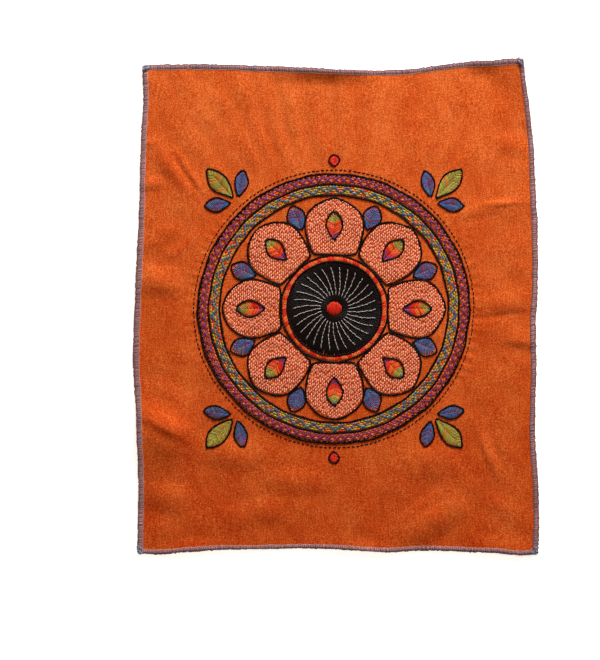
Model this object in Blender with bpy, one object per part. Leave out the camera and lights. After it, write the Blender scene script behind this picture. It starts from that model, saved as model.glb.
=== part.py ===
"""Embroidered panel, lying face up: an uneven rectangle of orange cloth, overlocked on its four sides,
with a flower medallion, two buds and four sprigs sewn on it.

Sizes are in millimetres and become metres when a mesh is made. A flat place (s, t) is a place on the cut
cloth, with s to the right and t up from its middle. `settle` carries it to where the cloth lies, with the
pull of the uneven edges and the rise of the folds. The panel rests at z = 0, and its box is centred on
the origin.
"""

import math
from collections import namedtuple

import bmesh
import bpy
import numpy as np

MM = 0.001

# The cut cloth.
CUT_WIDTH = 269.2
CUT_HEIGHT = 328.0
CLOTH_THICKNESS = 1.0
PULL_FADE = 3  # an uneven edge pulls the cloth by the cube of the distance from the middle

# The overlocked edging, which lies beside the cloth's own edge.
EDGING_WIDTH = 4.0
EDGING_HEIGHT = 1.8
PIECE_GAP = 0.3

# The embroidery, laid on the cloth as thin pads of thread.
PAD_THICKNESS = 0.6
MOTIF_S = -2.0
MOTIF_T = 0.0
EYE_RADIUS = 5.0
SEED_HEAD_RADIUS = 31.5
CHECK_RING = (32.1, 35.3)
PETAL_COUNT = 8
PETAL_BASE = 37.0
PETAL_TIP = 74.6
PETAL_SIDE_GAP = 1.45
PETAL_ROUNDING = (2.7, 0.72)
TIP_LEAF = (57.6, 17.4, 6.0)  # start, length and half width
ZIGZAG_BAND = (77.8, 83.6)
LATTICE_BAND = (85.1, 90.7)
BAND_QUARTERS = 4
BAND_CUT = 0.4
BUD = (96.8, 8.0, 3.4)
LEAF_FULLNESS = (0.85, 1.25)

# A sprig stands off each corner of the medallion, and its leaves part from one point.
SPRIG_ROOT = (66.0, 72.0)
SPRIG_TURN = 47.0
Leaf = namedtuple("Leaf", "fan start length half_width")
SPRIG_LEAVES = (
    Leaf(fan=-55.0, start=4.0, length=18.0, half_width=4.2),
    Leaf(fan=0.0, start=4.0, length=26.0, half_width=5.6),
    Leaf(fan=55.0, start=4.0, length=18.0, half_width=4.2),
)

# How far each edge strays outward of the straight cut: place along the edge, outward.
EdgePoint = namedtuple("EdgePoint", "along out")
LEFT_EDGE = [EdgePoint(*row) for row in (
    (-160, 0.7), (-115, 0.0), (-95, 0.7), (-66, 1.6), (-40, 3.4), (-5, 2.7),
    (27, 1.2), (74, -0.7), (118, -2.0), (142, -3.4), (160, -2.7),
)]
RIGHT_EDGE = [EdgePoint(*row) for row in (
    (-163, 1.3), (-140, 2.0), (-114, 1.2), (-92, -0.6), (-35, 0.0), (-11, -0.6), (8, 0.6), (55, 0.7),
    (83, -0.7), (103, -1.4), (130, -4.2), (150, -7.3), (164, -9.2),
)]
TOP_EDGE = [EdgePoint(*row) for row in (
    (-132, 0.7), (-96, 1.4), (-50, 0.0), (-25, -1.0), (8, -2.6), (36, -2.7), (56, -1.3), (75, 1.4),
    (95, 3.3), (112, 3.6), (124, 4.6), (134, 4.4),
)]
BOTTOM_EDGE = [EdgePoint(*row) for row in (
    (-134, 1.4), (-124, 2.0), (-105, 0.7), (-86, -0.7), (-54, -1.3), (-15, -1.9), (10, -0.6), (31, 0.6),
    (60, -0.6), (93, 0.6), (111, 1.4), (122, 2.6), (132, 2.0),
)]

# The folds that stay in the cloth: middle, turn in degrees, length, reach to each side, height.
Fold = namedtuple("Fold", "s t turn length reach height")
FOLDS = (
    Fold(s=-115, t=-78, turn=-28, length=54, reach=9, height=1.7),  # pinched ridge, lower left
    Fold(s=-118, t=-84, turn=-26, length=54, reach=24, height=1.8),  # the swell that carries it
    Fold(s=-123, t=-88, turn=-24, length=56, reach=42, height=3.4),  # and the broad one under both
    Fold(s=-118, t=-127, turn=-8, length=60, reach=12, height=1.2),  # a second swell below
    Fold(s=-120, t=18, turn=-4, length=44, reach=13, height=2.6),  # soft ridge, left
    Fold(s=-111, t=92, turn=-51, length=54, reach=9, height=0.9),  # slanting crease, upper left
    Fold(s=114, t=4, turn=5, length=60, reach=10, height=1.4),  # two low ridges, right
    Fold(s=122, t=-20, turn=-4, length=34, reach=9, height=0.9),
    Fold(s=104, t=-99, turn=-68, length=52, reach=7, height=1.1),  # steep crease, lower right
    Fold(s=66, t=-143, turn=35, length=62, reach=14, height=2.0),  # broad diagonal, lower right
    Fold(s=-12, t=164, turn=0, length=92, reach=12, height=2.0),  # the top edge curls up in two places
    Fold(s=102, t=163, turn=4, length=44, reach=9, height=1.2),
    Fold(s=130, t=168, turn=-42, length=96, reach=32, height=2.8),  # its right corner lifts
    Fold(s=-98, t=-164, turn=0, length=56, reach=10, height=1.0),  # waves of the lower edge
    Fold(s=18, t=-164, turn=0, length=60, reach=9, height=0.8),
    Fold(s=112, t=-162, turn=0, length=50, reach=12, height=1.2),
)

# Lines of the cloth's grid: from, to, steps. They are closer where it folds.
COLUMNS = ((-130.3, -92, 13), (-92, 92, 11), (92, 130.3, 10))
ROWS = ((-159.7, -126, 7), (-126, -60, 21), (-60, -30, 4), (-30, 34, 13), (34, 130, 11), (130, 159.7, 6))

FINISHES = {
    "cloth_orange": ((0.58, 0.10, 0.020), 0.85),
    "edging_mauve": ((0.23, 0.15, 0.15), 0.80),
    "thread_peach": ((0.59, 0.16, 0.085), 0.60),
    "thread_black": ((0.008, 0.007, 0.008), 0.55),
    "thread_blue": ((0.04, 0.10, 0.40), 0.55),
    "thread_red": ((0.72, 0.045, 0.022), 0.55),
    "thread_purple": ((0.17, 0.02, 0.14), 0.55),
    "thread_olive": ((0.38, 0.31, 0.05), 0.55),
}


# --- where the cloth lies -------------------------------------------------------------------------

def edge_curve(points, along):
    """A smooth curve through an edge's points: a cubic between neighbours, level past the ends."""
    at, out = np.array(points).T
    slope = np.gradient(out, at)
    first = np.clip(np.searchsorted(at, along) - 1, 0, len(at) - 2)
    step = at[first + 1] - at[first]
    share = np.clip((along - at[first]) / step, 0, 1)
    rest = 1 - share
    return (
        (1 + 2 * share) * rest**2 * out[first]
        + share * rest**2 * step * slope[first]
        + (1 + 2 * rest) * share**2 * out[first + 1]
        - rest * share**2 * step * slope[first + 1]
    )


def swell(distance):
    """A soft bump: one at the middle, nothing from a distance of one outward."""
    return np.clip(1 - distance**2, 0, None) ** 2


def rise(s, t):
    """Height of the cloth's underside, the sum of its folds."""
    height = np.zeros_like(s)
    for fold in FOLDS:
        turn = math.radians(fold.turn)
        lengthwise = (s - fold.s) * math.cos(turn) + (t - fold.t) * math.sin(turn)
        across = (t - fold.t) * math.cos(turn) - (s - fold.s) * math.sin(turn)
        height += fold.height * swell(2 * lengthwise / fold.length) * swell(across / fold.reach)
    return height


def settle(s, t):
    """Where flat places come to lie: columns x, y and the underside's z."""
    right, left = (np.clip(side * 2 * s / CUT_WIDTH, 0, None) ** PULL_FADE for side in (1, -1))
    upper, lower = (np.clip(side * 2 * t / CUT_HEIGHT, 0, None) ** PULL_FADE for side in (1, -1))
    x = s + right * edge_curve(RIGHT_EDGE, t) - left * edge_curve(LEFT_EDGE, t)
    y = t + upper * edge_curve(TOP_EDGE, s) - lower * edge_curve(BOTTOM_EDGE, s)
    return np.column_stack((x, y, rise(s, t)))


# --- solids ---------------------------------------------------------------------------------------

def slab(flat, faces, floor, thickness):
    """A sheet of the given faces, lifted by floor above the surface and thickened upward."""
    lying = settle(*np.array(flat, dtype=float).T) + (0, 0, floor)
    solid = bmesh.new()
    corners = [solid.verts.new(place) for place in lying]
    for face in faces:
        solid.faces.new([corners[i] for i in face])
    grown = bmesh.ops.extrude_face_region(solid, geom=solid.faces[:])["geom"]
    raised = [part for part in grown if isinstance(part, bmesh.types.BMVert)]
    bmesh.ops.translate(solid, verts=raised, vec=(0, 0, thickness))
    return solid


def grid_faces(rows, columns):
    """Four-cornered faces of a grid of points that is filled row by row."""
    return [
        (row * columns + column, row * columns + column + 1,
         (row + 1) * columns + column + 1, (row + 1) * columns + column)
        for row in range(rows - 1) for column in range(columns - 1)
    ]


def grid_lines(table):
    """Places of the grid's lines, from rows of (from, to, steps)."""
    spans = [np.linspace(start, end, steps, endpoint=False) for start, end, steps in table]
    return np.append(np.concatenate(spans), table[-1][1])


def ground_cloth():
    """The cloth inside its edging, one uneven sheet with its folds."""
    columns, rows = grid_lines(COLUMNS), grid_lines(ROWS)
    t, s = np.meshgrid(rows, columns, indexing="ij")
    flat = np.column_stack((s.ravel(), t.ravel()))
    return slab(flat, grid_faces(len(rows), len(columns)), 0, CLOTH_THICKNESS)


def edging(along, side, upright):
    """A strip of overlock stitching along one edge: a flat-bottomed bead carried along it.

    side is 1 for the right or top edge and -1 for the left or bottom one.
    """
    inward_and_height = np.array([
        (EDGING_WIDTH, 0), (EDGING_WIDTH, 0.75 * EDGING_HEIGHT), (0.8 * EDGING_WIDTH, EDGING_HEIGHT),
        (0.2 * EDGING_WIDTH, EDGING_HEIGHT), (0, 0.6 * EDGING_HEIGHT), (0, 0),
    ])
    half_cut = (CUT_WIDTH if upright else CUT_HEIGHT) / 2
    place, inward = np.meshgrid(along, inward_and_height[:, 0], indexing="ij")
    across = side * (half_cut - inward)
    s, t = (across, place) if upright else (place, across)
    lying = settle(s.ravel(), t.ravel())
    lying[:, 2] += np.tile(inward_and_height[:, 1], len(along))
    solid = bmesh.new()
    corners = [solid.verts.new(point) for point in lying]
    around = len(inward_and_height)
    rings = [corners[i:i + around] for i in range(0, len(corners), around)]
    for ring, following in zip(rings, rings[1:]):
        for i in range(around):
            j = (i + 1) % around
            solid.faces.new((ring[i], ring[j], following[j], following[i]))
    solid.faces.new(rings[0])
    solid.faces.new(rings[-1])
    return solid


# --- outlines of the embroidery, around the medallion's middle ---------------------------------------

def turned(points, degrees, origin=(0, 0)):
    """Points turned about zero and then moved to the origin given."""
    cos, sin = math.cos(math.radians(degrees)), math.sin(math.radians(degrees))
    return np.array(points) @ np.array(((cos, sin), (-sin, cos))) + origin


def circle(radius, count):
    angle = np.linspace(0, 2 * np.pi, count, endpoint=False)
    return radius * np.column_stack((np.cos(angle), np.sin(angle)))


def two_sided(length, half_width):
    """An outline along +s from its half widths: up one side and back down the other."""
    near = np.column_stack((length, -half_width))
    far = np.column_stack((length, half_width))[::-1]
    return np.vstack((near, far))


def petal_outline():
    """A blunt wedge with a domed end: straight sides that part at the petal's angle."""
    share = np.sin(np.linspace(0, np.pi / 2, 13))[:-1]
    length = PETAL_BASE + share * (PETAL_TIP - PETAL_BASE)
    power, root = PETAL_ROUNDING
    side = length * math.tan(math.pi / PETAL_COUNT) - PETAL_SIDE_GAP
    outline = two_sided(length, side * (1 - share**power) ** root)
    return np.insert(outline, len(length), (PETAL_TIP, 0), axis=0)


def leaf_outline(start, length, half_width, steps=9):
    """A leaf with two pointed ends, fullest past its middle."""
    lean, fullness = LEAF_FULLNESS
    share = np.linspace(0, 1, steps + 2)[1:-1]
    width = half_width * np.sin(np.pi * (1 - (1 - share) ** lean)) ** fullness
    outline = two_sided(start + share * length, width)
    return np.vstack(((start, 0), outline[:steps], (start + length, 0), outline[steps:]))


def pad(outline, floor=CLOTH_THICKNESS + PIECE_GAP):
    """A pad of stitches inside an outline around the medallion's middle."""
    flat = np.array(outline) + (MOTIF_S, MOTIF_T)
    return slab(flat, [range(len(flat))], floor, PAD_THICKNESS)


def quarter_band(radii, quarter, steps=14):
    """A quarter of a ring of stitches, cut a little short at both ends."""
    inner, outer = radii
    cut = math.asin(BAND_CUT / inner)
    first = quarter * 2 * math.pi / BAND_QUARTERS
    angle = np.linspace(first + cut, first + 2 * math.pi / BAND_QUARTERS - cut, steps + 1)
    ring = np.column_stack((np.cos(angle), np.sin(angle)))
    flat = np.vstack((inner * ring, outer * ring)) + (MOTIF_S, MOTIF_T)
    return slab(flat, grid_faces(2, steps + 1), CLOTH_THICKNESS + PIECE_GAP, PAD_THICKNESS)


# --- the pieces: name, solid, finish -----------------------------------------------------------------

def cloth_pieces():
    rows = grid_lines(ROWS)
    columns = np.concatenate(((-CUT_WIDTH / 2,), grid_lines(COLUMNS), (CUT_WIDTH / 2,)))
    yield "ground_cloth", ground_cloth(), "cloth_orange"
    yield "overlock_top", edging(columns, 1, upright=False), "edging_mauve"
    yield "overlock_bottom", edging(columns, -1, upright=False), "edging_mauve"
    yield "overlock_right", edging(rows, 1, upright=True), "edging_mauve"
    yield "overlock_left", edging(rows, -1, upright=True), "edging_mauve"


def flower_pieces():
    on_seed_head = CLOTH_THICKNESS + PAD_THICKNESS + 2 * PIECE_GAP
    yield "seed_head", pad(circle(SEED_HEAD_RADIUS, 48)), "thread_black"
    yield "flower_eye", pad(circle(EYE_RADIUS, 20), on_seed_head), "thread_red"
    part_turn = 360 / PETAL_COUNT
    for i in range(PETAL_COUNT):
        petal = turned(petal_outline(), i * part_turn)
        leaf = turned(leaf_outline(*TIP_LEAF), (i + 0.5) * part_turn)
        yield f"petal_{i + 1}", pad(petal), "thread_peach"
        yield f"tip_leaf_{i + 1}", pad(leaf), "thread_blue"


def band_pieces():
    for i in range(BAND_QUARTERS):
        yield f"check_ring_{i + 1}", quarter_band(CHECK_RING, i, steps=10), "thread_red"
        yield f"zigzag_band_{i + 1}", quarter_band(ZIGZAG_BAND, i), "thread_olive"
        yield f"lattice_band_{i + 1}", quarter_band(LATTICE_BAND, i), "thread_purple"


def sprig_pieces():
    for i, (across, up) in enumerate(((1, 1), (-1, 1), (-1, -1), (1, -1))):
        for j, leaf in enumerate(SPRIG_LEAVES):
            outline = leaf_outline(leaf.start, leaf.length, leaf.half_width)
            outline = turned(outline, SPRIG_TURN + leaf.fan, SPRIG_ROOT) * (across, up)
            finish = "thread_blue" if leaf.fan else "thread_olive"
            yield f"sprig_{i + 1}_leaf_{j + 1}", pad(outline), finish
    for name, degrees in (("bud_top", 90), ("bud_bottom", -90)):
        yield name, pad(turned(leaf_outline(*BUD), degrees)), "thread_red"


def make_material(name):
    colour, roughness = FINISHES[name]
    material = bpy.data.materials.new(name)
    material.use_nodes = True
    shader = material.node_tree.nodes["Principled BSDF"]
    shader.inputs["Base Color"].default_value = (*colour, 1)
    shader.inputs["Roughness"].default_value = roughness
    shader.inputs["Metallic"].default_value = 0
    material.diffuse_color = (*colour, 1)
    return material


def middle_of_box(solids):
    """The middle of the whole panel's box, on the surface that it lies on."""
    corners = np.array([vertex.co for solid in solids for vertex in solid.verts])
    lowest, highest = corners.min(axis=0), corners.max(axis=0)
    return ((lowest[0] + highest[0]) / 2, (lowest[1] + highest[1]) / 2, 0)


def add_object(name, solid, material, middle):
    """Turns one solid into an object in metres, with the panel's middle at the origin."""
    bmesh.ops.translate(solid, verts=solid.verts[:], vec=[-value for value in middle])
    bmesh.ops.scale(solid, verts=solid.verts[:], vec=(MM, MM, MM))
    bmesh.ops.recalc_face_normals(solid, faces=solid.faces[:])
    mesh = bpy.data.meshes.new(name)
    solid.to_mesh(mesh)
    solid.free()
    mesh.materials.append(material)
    bpy.context.scene.collection.objects.link(bpy.data.objects.new(name, mesh))


def main():
    for old in list(bpy.data.objects):
        bpy.data.objects.remove(old, do_unlink=True)
    pieces = [*cloth_pieces(), *flower_pieces(), *band_pieces(), *sprig_pieces()]
    middle = middle_of_box([solid for _, solid, _ in pieces])
    materials = {name: make_material(name) for name in FINISHES}
    for name, solid, finish in pieces:
        add_object(name, solid, materials[finish], middle)


main()
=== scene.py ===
# %% [markdown]
# # An embroidered panel, stitch by stitch
#
# The object is a small rectangle of orange slubbed cloth, lying face up. Its four edges are overlocked in
# mauve thread, and a round flower is embroidered on it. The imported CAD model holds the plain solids: one
# sheet of cloth, four strips of edging and a thin pad for each filled area of stitches. This lesson dresses
# them. Every stitch is a small closed mesh of its own, placed by a rule, because light on real thread is what
# makes embroidery look like embroidery.
#
# Sizes are in millimetres, and become metres when a mesh is made.

# %% The frame that everything is built around
import math
from collections import namedtuple

import bpy
import numpy as np
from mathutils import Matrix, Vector


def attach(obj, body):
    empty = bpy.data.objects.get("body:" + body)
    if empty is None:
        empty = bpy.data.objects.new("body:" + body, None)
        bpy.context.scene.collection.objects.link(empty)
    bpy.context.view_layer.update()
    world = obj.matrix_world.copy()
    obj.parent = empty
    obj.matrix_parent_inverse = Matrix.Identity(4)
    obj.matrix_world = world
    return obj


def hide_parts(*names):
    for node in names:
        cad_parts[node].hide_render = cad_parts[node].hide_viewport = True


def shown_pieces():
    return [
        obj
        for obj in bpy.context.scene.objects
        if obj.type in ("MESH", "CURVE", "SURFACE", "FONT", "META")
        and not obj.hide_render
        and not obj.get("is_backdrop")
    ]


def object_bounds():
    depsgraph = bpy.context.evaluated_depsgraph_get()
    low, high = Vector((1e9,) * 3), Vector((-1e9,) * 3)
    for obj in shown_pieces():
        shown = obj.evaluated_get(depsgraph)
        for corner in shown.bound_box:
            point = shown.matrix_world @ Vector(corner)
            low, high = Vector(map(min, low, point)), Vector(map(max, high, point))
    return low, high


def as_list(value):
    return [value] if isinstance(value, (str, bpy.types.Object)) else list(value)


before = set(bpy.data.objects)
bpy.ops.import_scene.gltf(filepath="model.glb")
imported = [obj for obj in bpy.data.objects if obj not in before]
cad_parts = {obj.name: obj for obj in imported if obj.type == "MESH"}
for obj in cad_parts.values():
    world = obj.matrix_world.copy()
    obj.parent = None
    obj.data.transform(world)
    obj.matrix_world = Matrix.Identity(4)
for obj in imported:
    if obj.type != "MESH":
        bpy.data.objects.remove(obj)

MM = 0.001
cad_low, cad_high = (np.array(corner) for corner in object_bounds())
print("CAD box in mm:", np.round((cad_high - cad_low) / MM, 1))

# %% [markdown]
# ## Where the cloth lies
#
# A place on the cut cloth has two numbers: s to the right and t up, both from the middle. The cloth was cut
# by hand, so its edges stray from straight. The short tables that shape the CAD sheet are repeated here,
# because the visible cloth has to lie in the CAD sheet's place. Each holds a few points of one edge: how far
# along it, and how far out it strays there. A smooth cubic runs through them.

# %% The cut cloth and its strayed edges
CUT_WIDTH, CUT_HEIGHT = 269.2, 328.0

LEFT_EDGE = (
    (-160, 0.7), (-115, 0.0), (-95, 0.7), (-66, 1.6), (-40, 3.4), (-5, 2.7),
    (27, 1.2), (74, -0.7), (118, -2.0), (142, -3.4), (160, -2.7),
)
RIGHT_EDGE = (
    (-163, 1.3), (-140, 2.0), (-114, 1.2), (-92, -0.6), (-35, 0.0), (-11, -0.6), (8, 0.6), (55, 0.7),
    (83, -0.7), (103, -1.4), (130, -4.2), (150, -7.3), (164, -9.2),
)
TOP_EDGE = (
    (-132, 0.7), (-96, 1.4), (-50, 0.0), (-25, -1.0), (8, -2.6), (36, -2.7), (56, -1.3), (75, 1.4),
    (95, 3.3), (112, 3.6), (124, 4.6), (134, 4.4),
)
BOTTOM_EDGE = (
    (-134, 1.4), (-124, 2.0), (-105, 0.7), (-86, -0.7), (-54, -1.3), (-15, -1.9), (10, -0.6), (31, 0.6),
    (60, -0.6), (93, 0.6), (111, 1.4), (122, 2.6), (132, 2.0),
)


def edge_curve(points, along):
    """A smooth curve through an edge's points: a cubic between neighbours, level past the ends."""
    at, out = np.array(points, dtype=float).T
    slope = np.gradient(out, at)
    first = np.clip(np.searchsorted(at, along) - 1, 0, len(at) - 2)
    step = at[first + 1] - at[first]
    share = np.clip((along - at[first]) / step, 0, 1)
    rest = 1 - share
    return (
        (1 + 2 * share) * rest**2 * out[first]
        + share * rest**2 * step * slope[first]
        + (1 + 2 * rest) * share**2 * out[first + 1]
        - rest * share**2 * step * slope[first + 1]
    )


strays = [out for edge in (LEFT_EDGE, RIGHT_EDGE, TOP_EDGE, BOTTOM_EDGE) for _, out in edge]
print("the edges stray by", min(strays), "to", max(strays), "mm")

# %% [markdown]
# The edges pull the cloth near them along. The pull fades by the cube of the distance from the middle, so the
# middle of the cloth stays where it is. The middle of the pulled outline's box is set on the CAD's middle.

# %% Places pulled by the edges
PULL_FADE = 3
EDGE_STEPS = 400


def pulled(s, t):
    """A flat place moved by the strayed edges, which pull by the cube of the distance from the middle."""
    right, left = (np.clip(side * 2 * s / CUT_WIDTH, 0, None) ** PULL_FADE for side in (1, -1))
    upper, lower = (np.clip(side * 2 * t / CUT_HEIGHT, 0, None) ** PULL_FADE for side in (1, -1))
    x = s + right * edge_curve(RIGHT_EDGE, t) - left * edge_curve(LEFT_EDGE, t)
    y = t + upper * edge_curve(TOP_EDGE, s) - lower * edge_curve(BOTTOM_EDGE, s)
    return x, y


def middle_of_cut():
    """The middle of the strayed outline's box, found by walking round all four edges."""
    walk = np.linspace(-1, 1, EDGE_STEPS)
    ones = np.ones_like(walk)
    s = np.concatenate((walk, walk, ones, -ones)) * CUT_WIDTH / 2
    t = np.concatenate((ones, -ones, walk, walk)) * CUT_HEIGHT / 2
    x, y = pulled(s, t)
    return (x.min() + x.max()) / 2, (y.min() + y.max()) / 2


cad_middle = (cad_low + cad_high)[:2] / 2 / MM
shift_x, shift_y = cad_middle - middle_of_cut()
print("cut middle sits off the origin by", round(shift_x, 2), round(shift_y, 2), "mm")

# %% [markdown]
# ## Its main folds
#
# The cloth has lain folded, so it has ridges. `swell` is a soft bump, and a fold is a bump stretched along a
# line: where its middle is, how far its line is turned, its length, its reach to each side and its height.

# %% The folds of the CAD sheet
Fold = namedtuple("Fold", "s t turn length reach height")
FOLDS = (
    Fold(-115, -78, -28, 54, 9, 1.7),
    Fold(-118, -84, -26, 54, 24, 1.8),
    Fold(-123, -88, -24, 56, 42, 3.4),
    Fold(-118, -127, -8, 60, 12, 1.2),
    Fold(-120, 18, -4, 44, 13, 2.6),
    Fold(-111, 92, -51, 54, 9, 0.9),
    Fold(114, 4, 5, 60, 10, 1.4),
    Fold(122, -20, -4, 34, 9, 0.9),
    Fold(104, -99, -68, 52, 7, 1.1),
    Fold(66, -143, 35, 62, 14, 2.0),
    Fold(-12, 164, 0, 92, 12, 2.0),
    Fold(102, 163, 4, 44, 9, 1.2),
    Fold(130, 168, -42, 96, 32, 2.8),
    Fold(-98, -164, 0, 56, 10, 1.0),
    Fold(18, -164, 0, 60, 9, 0.8),
    Fold(112, -162, 0, 50, 12, 1.2),
)


def swell(distance):
    """A soft bump: one at the middle, nothing from a distance of one outward."""
    return np.clip(1 - distance**2, 0, None) ** 2


def folded(s, t, folds):
    """The sum of the folds' bumps, each stretched along its own line."""
    height = np.zeros(np.broadcast(s, t).shape)
    for fold in folds:
        turn = math.radians(fold.turn)
        lengthwise = (s - fold.s) * math.cos(turn) + (t - fold.t) * math.sin(turn)
        across = (t - fold.t) * math.cos(turn) - (s - fold.s) * math.sin(turn)
        height += fold.height * swell(2 * lengthwise / fold.length) * swell(across / fold.reach)
    return height


print(len(FOLDS), "main folds, the highest", max(fold.height for fold in FOLDS), "mm")

# %% [markdown]
# ## The small relief on the folds
#
# Between its main folds real cloth is never flat. There are fine creases where it was once pressed, soft
# dimples all over, and lines of drag and short puckers where tight stitches draw the cloth in. Creases are a
# second table of folds, most of them fine. One of negative height is a hollow, or presses part of a main fold
# down again.

# %% Creases
CREASES = (
    Fold(-104, 91, -55, 44, 2.4, -0.90),
    Fold(-101, 93, -55, 44, 3.2, 0.60),
    Fold(-107, 86, -54, 38, 4.0, 0.25),
    Fold(-127, 84, 8, 24, 6.0, 1.10),
    Fold(-128, 112, 4, 18, 5.0, 0.60),
    Fold(128, 120, 2, 22, 5.0, -0.40),
    Fold(-112, 124, -58, 44, 7.0, 0.20),
    Fold(112, 71, 3, 46, 2.6, 0.75),
    Fold(96, 66, 14, 60, 6.0, 0.60),
    Fold(108, -5, 8, 56, 2.2, -0.35),
    Fold(114, 4, 5, 60, 10, -0.40),
    Fold(104, -13, 6, 50, 7.0, 0.30),
    Fold(124, -23, -6, 26, 4.0, 0.30),
    Fold(101, -98, -68, 50, 2.6, 0.55),
    Fold(107, -96, -68, 46, 4.0, -0.45),
    Fold(104, -99, -68, 52, 7.0, -0.45),
    Fold(-114, -55, -30, 50, 9.0, 0.50),
    Fold(-115, -81, -30, 46, 3.0, 0.35),
    Fold(-72, -98, -8, 76, 14, 1.3),
    Fold(-30, -118, -4, 70, 12, 1.0),
    Fold(64, -104, 8, 56, 15, 1.2),
    Fold(-60, -140, 10, 90, 12, 0.8),
    Fold(58, -133, 34, 56, 5.0, 0.60),
    Fold(112, -134, -20, 50, 10, 0.5),
    Fold(-120, 18, -4, 44, 13, -0.8),
    Fold(-122, 48, 24, 40, 9.0, 0.6),
    Fold(-106, 40, 40, 44, 5.0, 0.5),
    Fold(118, 110, -14, 50, 9.0, 0.5),
    Fold(-4, 161, 2, 66, 4.0, 0.4),
    Fold(65, 133, -80, 30, 1.8, -0.60),
    Fold(76, 136, -68, 24, 1.8, -0.70),
    Fold(75, 157, 88, 20, 1.6, -0.50),
    Fold(54, 144, -84, 34, 2.4, -0.60),
    Fold(30, 140, 86, 38, 3.0, 0.50),
    Fold(-4, 142, -88, 34, 3.0, -0.50),
)
print(len(CREASES), "creases")

# %% [markdown]
# Dimples are a few dozen flat waves of mixed lengths and directions, added up. Their seed is fixed, as all
# seeds are here, so that each run gives the same cloth. Longer waves are higher.

# %% Dimples
DIMPLE_WAVES, DIMPLE_HEIGHT = 48, 0.11
SHORTEST_DIMPLE, LONGEST_DIMPLE = 9, 40

dimple_random = np.random.default_rng(11)
wave_length = dimple_random.uniform(SHORTEST_DIMPLE, LONGEST_DIMPLE, DIMPLE_WAVES)
wave_turn = dimple_random.uniform(0, np.pi, DIMPLE_WAVES)
wave_start = dimple_random.uniform(0, 2 * np.pi, DIMPLE_WAVES)
wave_height = DIMPLE_HEIGHT * wave_length / wave_length.mean() * math.sqrt(2 / DIMPLE_WAVES)


def dimples(s, t):
    """Many flat sine waves of mixed length and direction, added up."""
    flow = s[..., None] * np.cos(wave_turn) + t[..., None] * np.sin(wave_turn)
    return (wave_height * np.sin(2 * np.pi * flow / wave_length + wave_start)).sum(axis=-1)


print("dimples at the middle:", round(float(dimples(np.array(0.0), np.array(0.0))), 3), "mm")

# %% [markdown]
# Tight stitches gather the cloth round the medallion. Drag lines are long spokes from it out to the edge,
# strongest above it, and puckers are short spokes close to it. Both are a sine round the medallion, whose
# phase wobbles so that no two spokes are alike. All counts are whole, so that the pattern closes.

# %% Drag lines and puckers
MOTIF_S, MOTIF_T = -2.0, 0.0
MOTIF_EDGE = 96.0
DRAG_COUNT, DRAG_HEIGHT = 55, 0.38
DRAG_ANGLE, DRAG_SPREAD, DRAG_ELSEWHERE = 1.5, 0.6, 0.15
DRAG_START, DRAG_FADE = 18, 120
DRAG_WOBBLE, DRAG_WOBBLE_COUNT, DRAG_WOBBLE_START = 2.2, 6, 0.5
PUCKER_COUNT, PUCKER_HEIGHT, PUCKER_REACH = 104, 0.26, 7.0
PUCKER_MEAN, PUCKER_UNEVEN, UNEVEN_COUNTS = 0.6, 0.4, (7, 3)
PUCKER_WOBBLE, PUCKER_WOBBLE_COUNT = 2, 9


def round_motif(s, t):
    """How far a place is from the medallion's edge, and its angle round the medallion's middle."""
    away = np.hypot(s - MOTIF_S, t - MOTIF_T) - MOTIF_EDGE
    return away, np.arctan2(t - MOTIF_T, s - MOTIF_S)


def drag_lines(s, t):
    """A sine round the medallion, times a rise and a slow fade outward, strongest round one angle."""
    away, angle = round_motif(s, t)
    strength = DRAG_ELSEWHERE + (1 - DRAG_ELSEWHERE) * np.exp(-(((angle - DRAG_ANGLE) / DRAG_SPREAD) ** 2))
    reach = np.clip(away / DRAG_START, 0, 1) ** 2 * np.exp(-np.clip(away, 0, None) / DRAG_FADE)
    wobble = DRAG_WOBBLE * np.sin(DRAG_WOBBLE_COUNT * angle + DRAG_WOBBLE_START)
    return DRAG_HEIGHT * strength * reach * np.sin(DRAG_COUNT * angle + wobble)


def puckers(s, t):
    """A sine round the medallion, of uneven strength, under a bump across its edge."""
    away, angle = round_motif(s, t)
    first, second = UNEVEN_COUNTS
    strength = PUCKER_MEAN + PUCKER_UNEVEN * np.sin(first * angle + 1) * np.sin(second * angle)
    wobble = PUCKER_WOBBLE * np.sin(PUCKER_WOBBLE_COUNT * angle)
    return PUCKER_HEIGHT * strength * np.sin(PUCKER_COUNT * angle + wobble) * swell(away / PUCKER_REACH)


print(DRAG_COUNT, "drag lines and", PUCKER_COUNT, "puckers round the medallion")

# %% [markdown]
# Everything else is placed by one function, which takes a place on the cut and a level over the cloth's face.
# It adds up the folds and the small relief. Where they dip too low, the cloth rests on the table.

# %% Where a place on the cloth comes to lie
FACE_LEVEL = 1.0
LOWEST_RELIEF = -0.3
TABLE_GAP = 0.06


def on_cloth(s, t, level=0.0):
    """Where a place on the cloth's face comes to lie, in metres, raised above the face by level."""
    x, y = pulled(s, t)
    relief = folded(s, t, FOLDS + CREASES) + dimples(s, t) + drag_lines(s, t) + puckers(s, t)
    z = np.maximum(np.maximum(relief, LOWEST_RELIEF) + FACE_LEVEL + level, TABLE_GAP)
    return np.stack(np.broadcast_arrays(x + shift_x, y + shift_y, z), axis=-1) * MM


print("middle of the face lies at", np.round(on_cloth(np.array(0.0), np.array(0.0)) / MM, 2), "mm")

# %% [markdown]
# ## Getting arrays into a mesh
#
# A mesh of many thousand corners is slow to build one vertex at a time. Blender takes whole arrays instead:
# the places go in with `foreach_set`, and so do the corners of each face, as one long list with the start of
# each face. A map named Thread and a value named tone go in the same way, for the thread's material to read.

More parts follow.
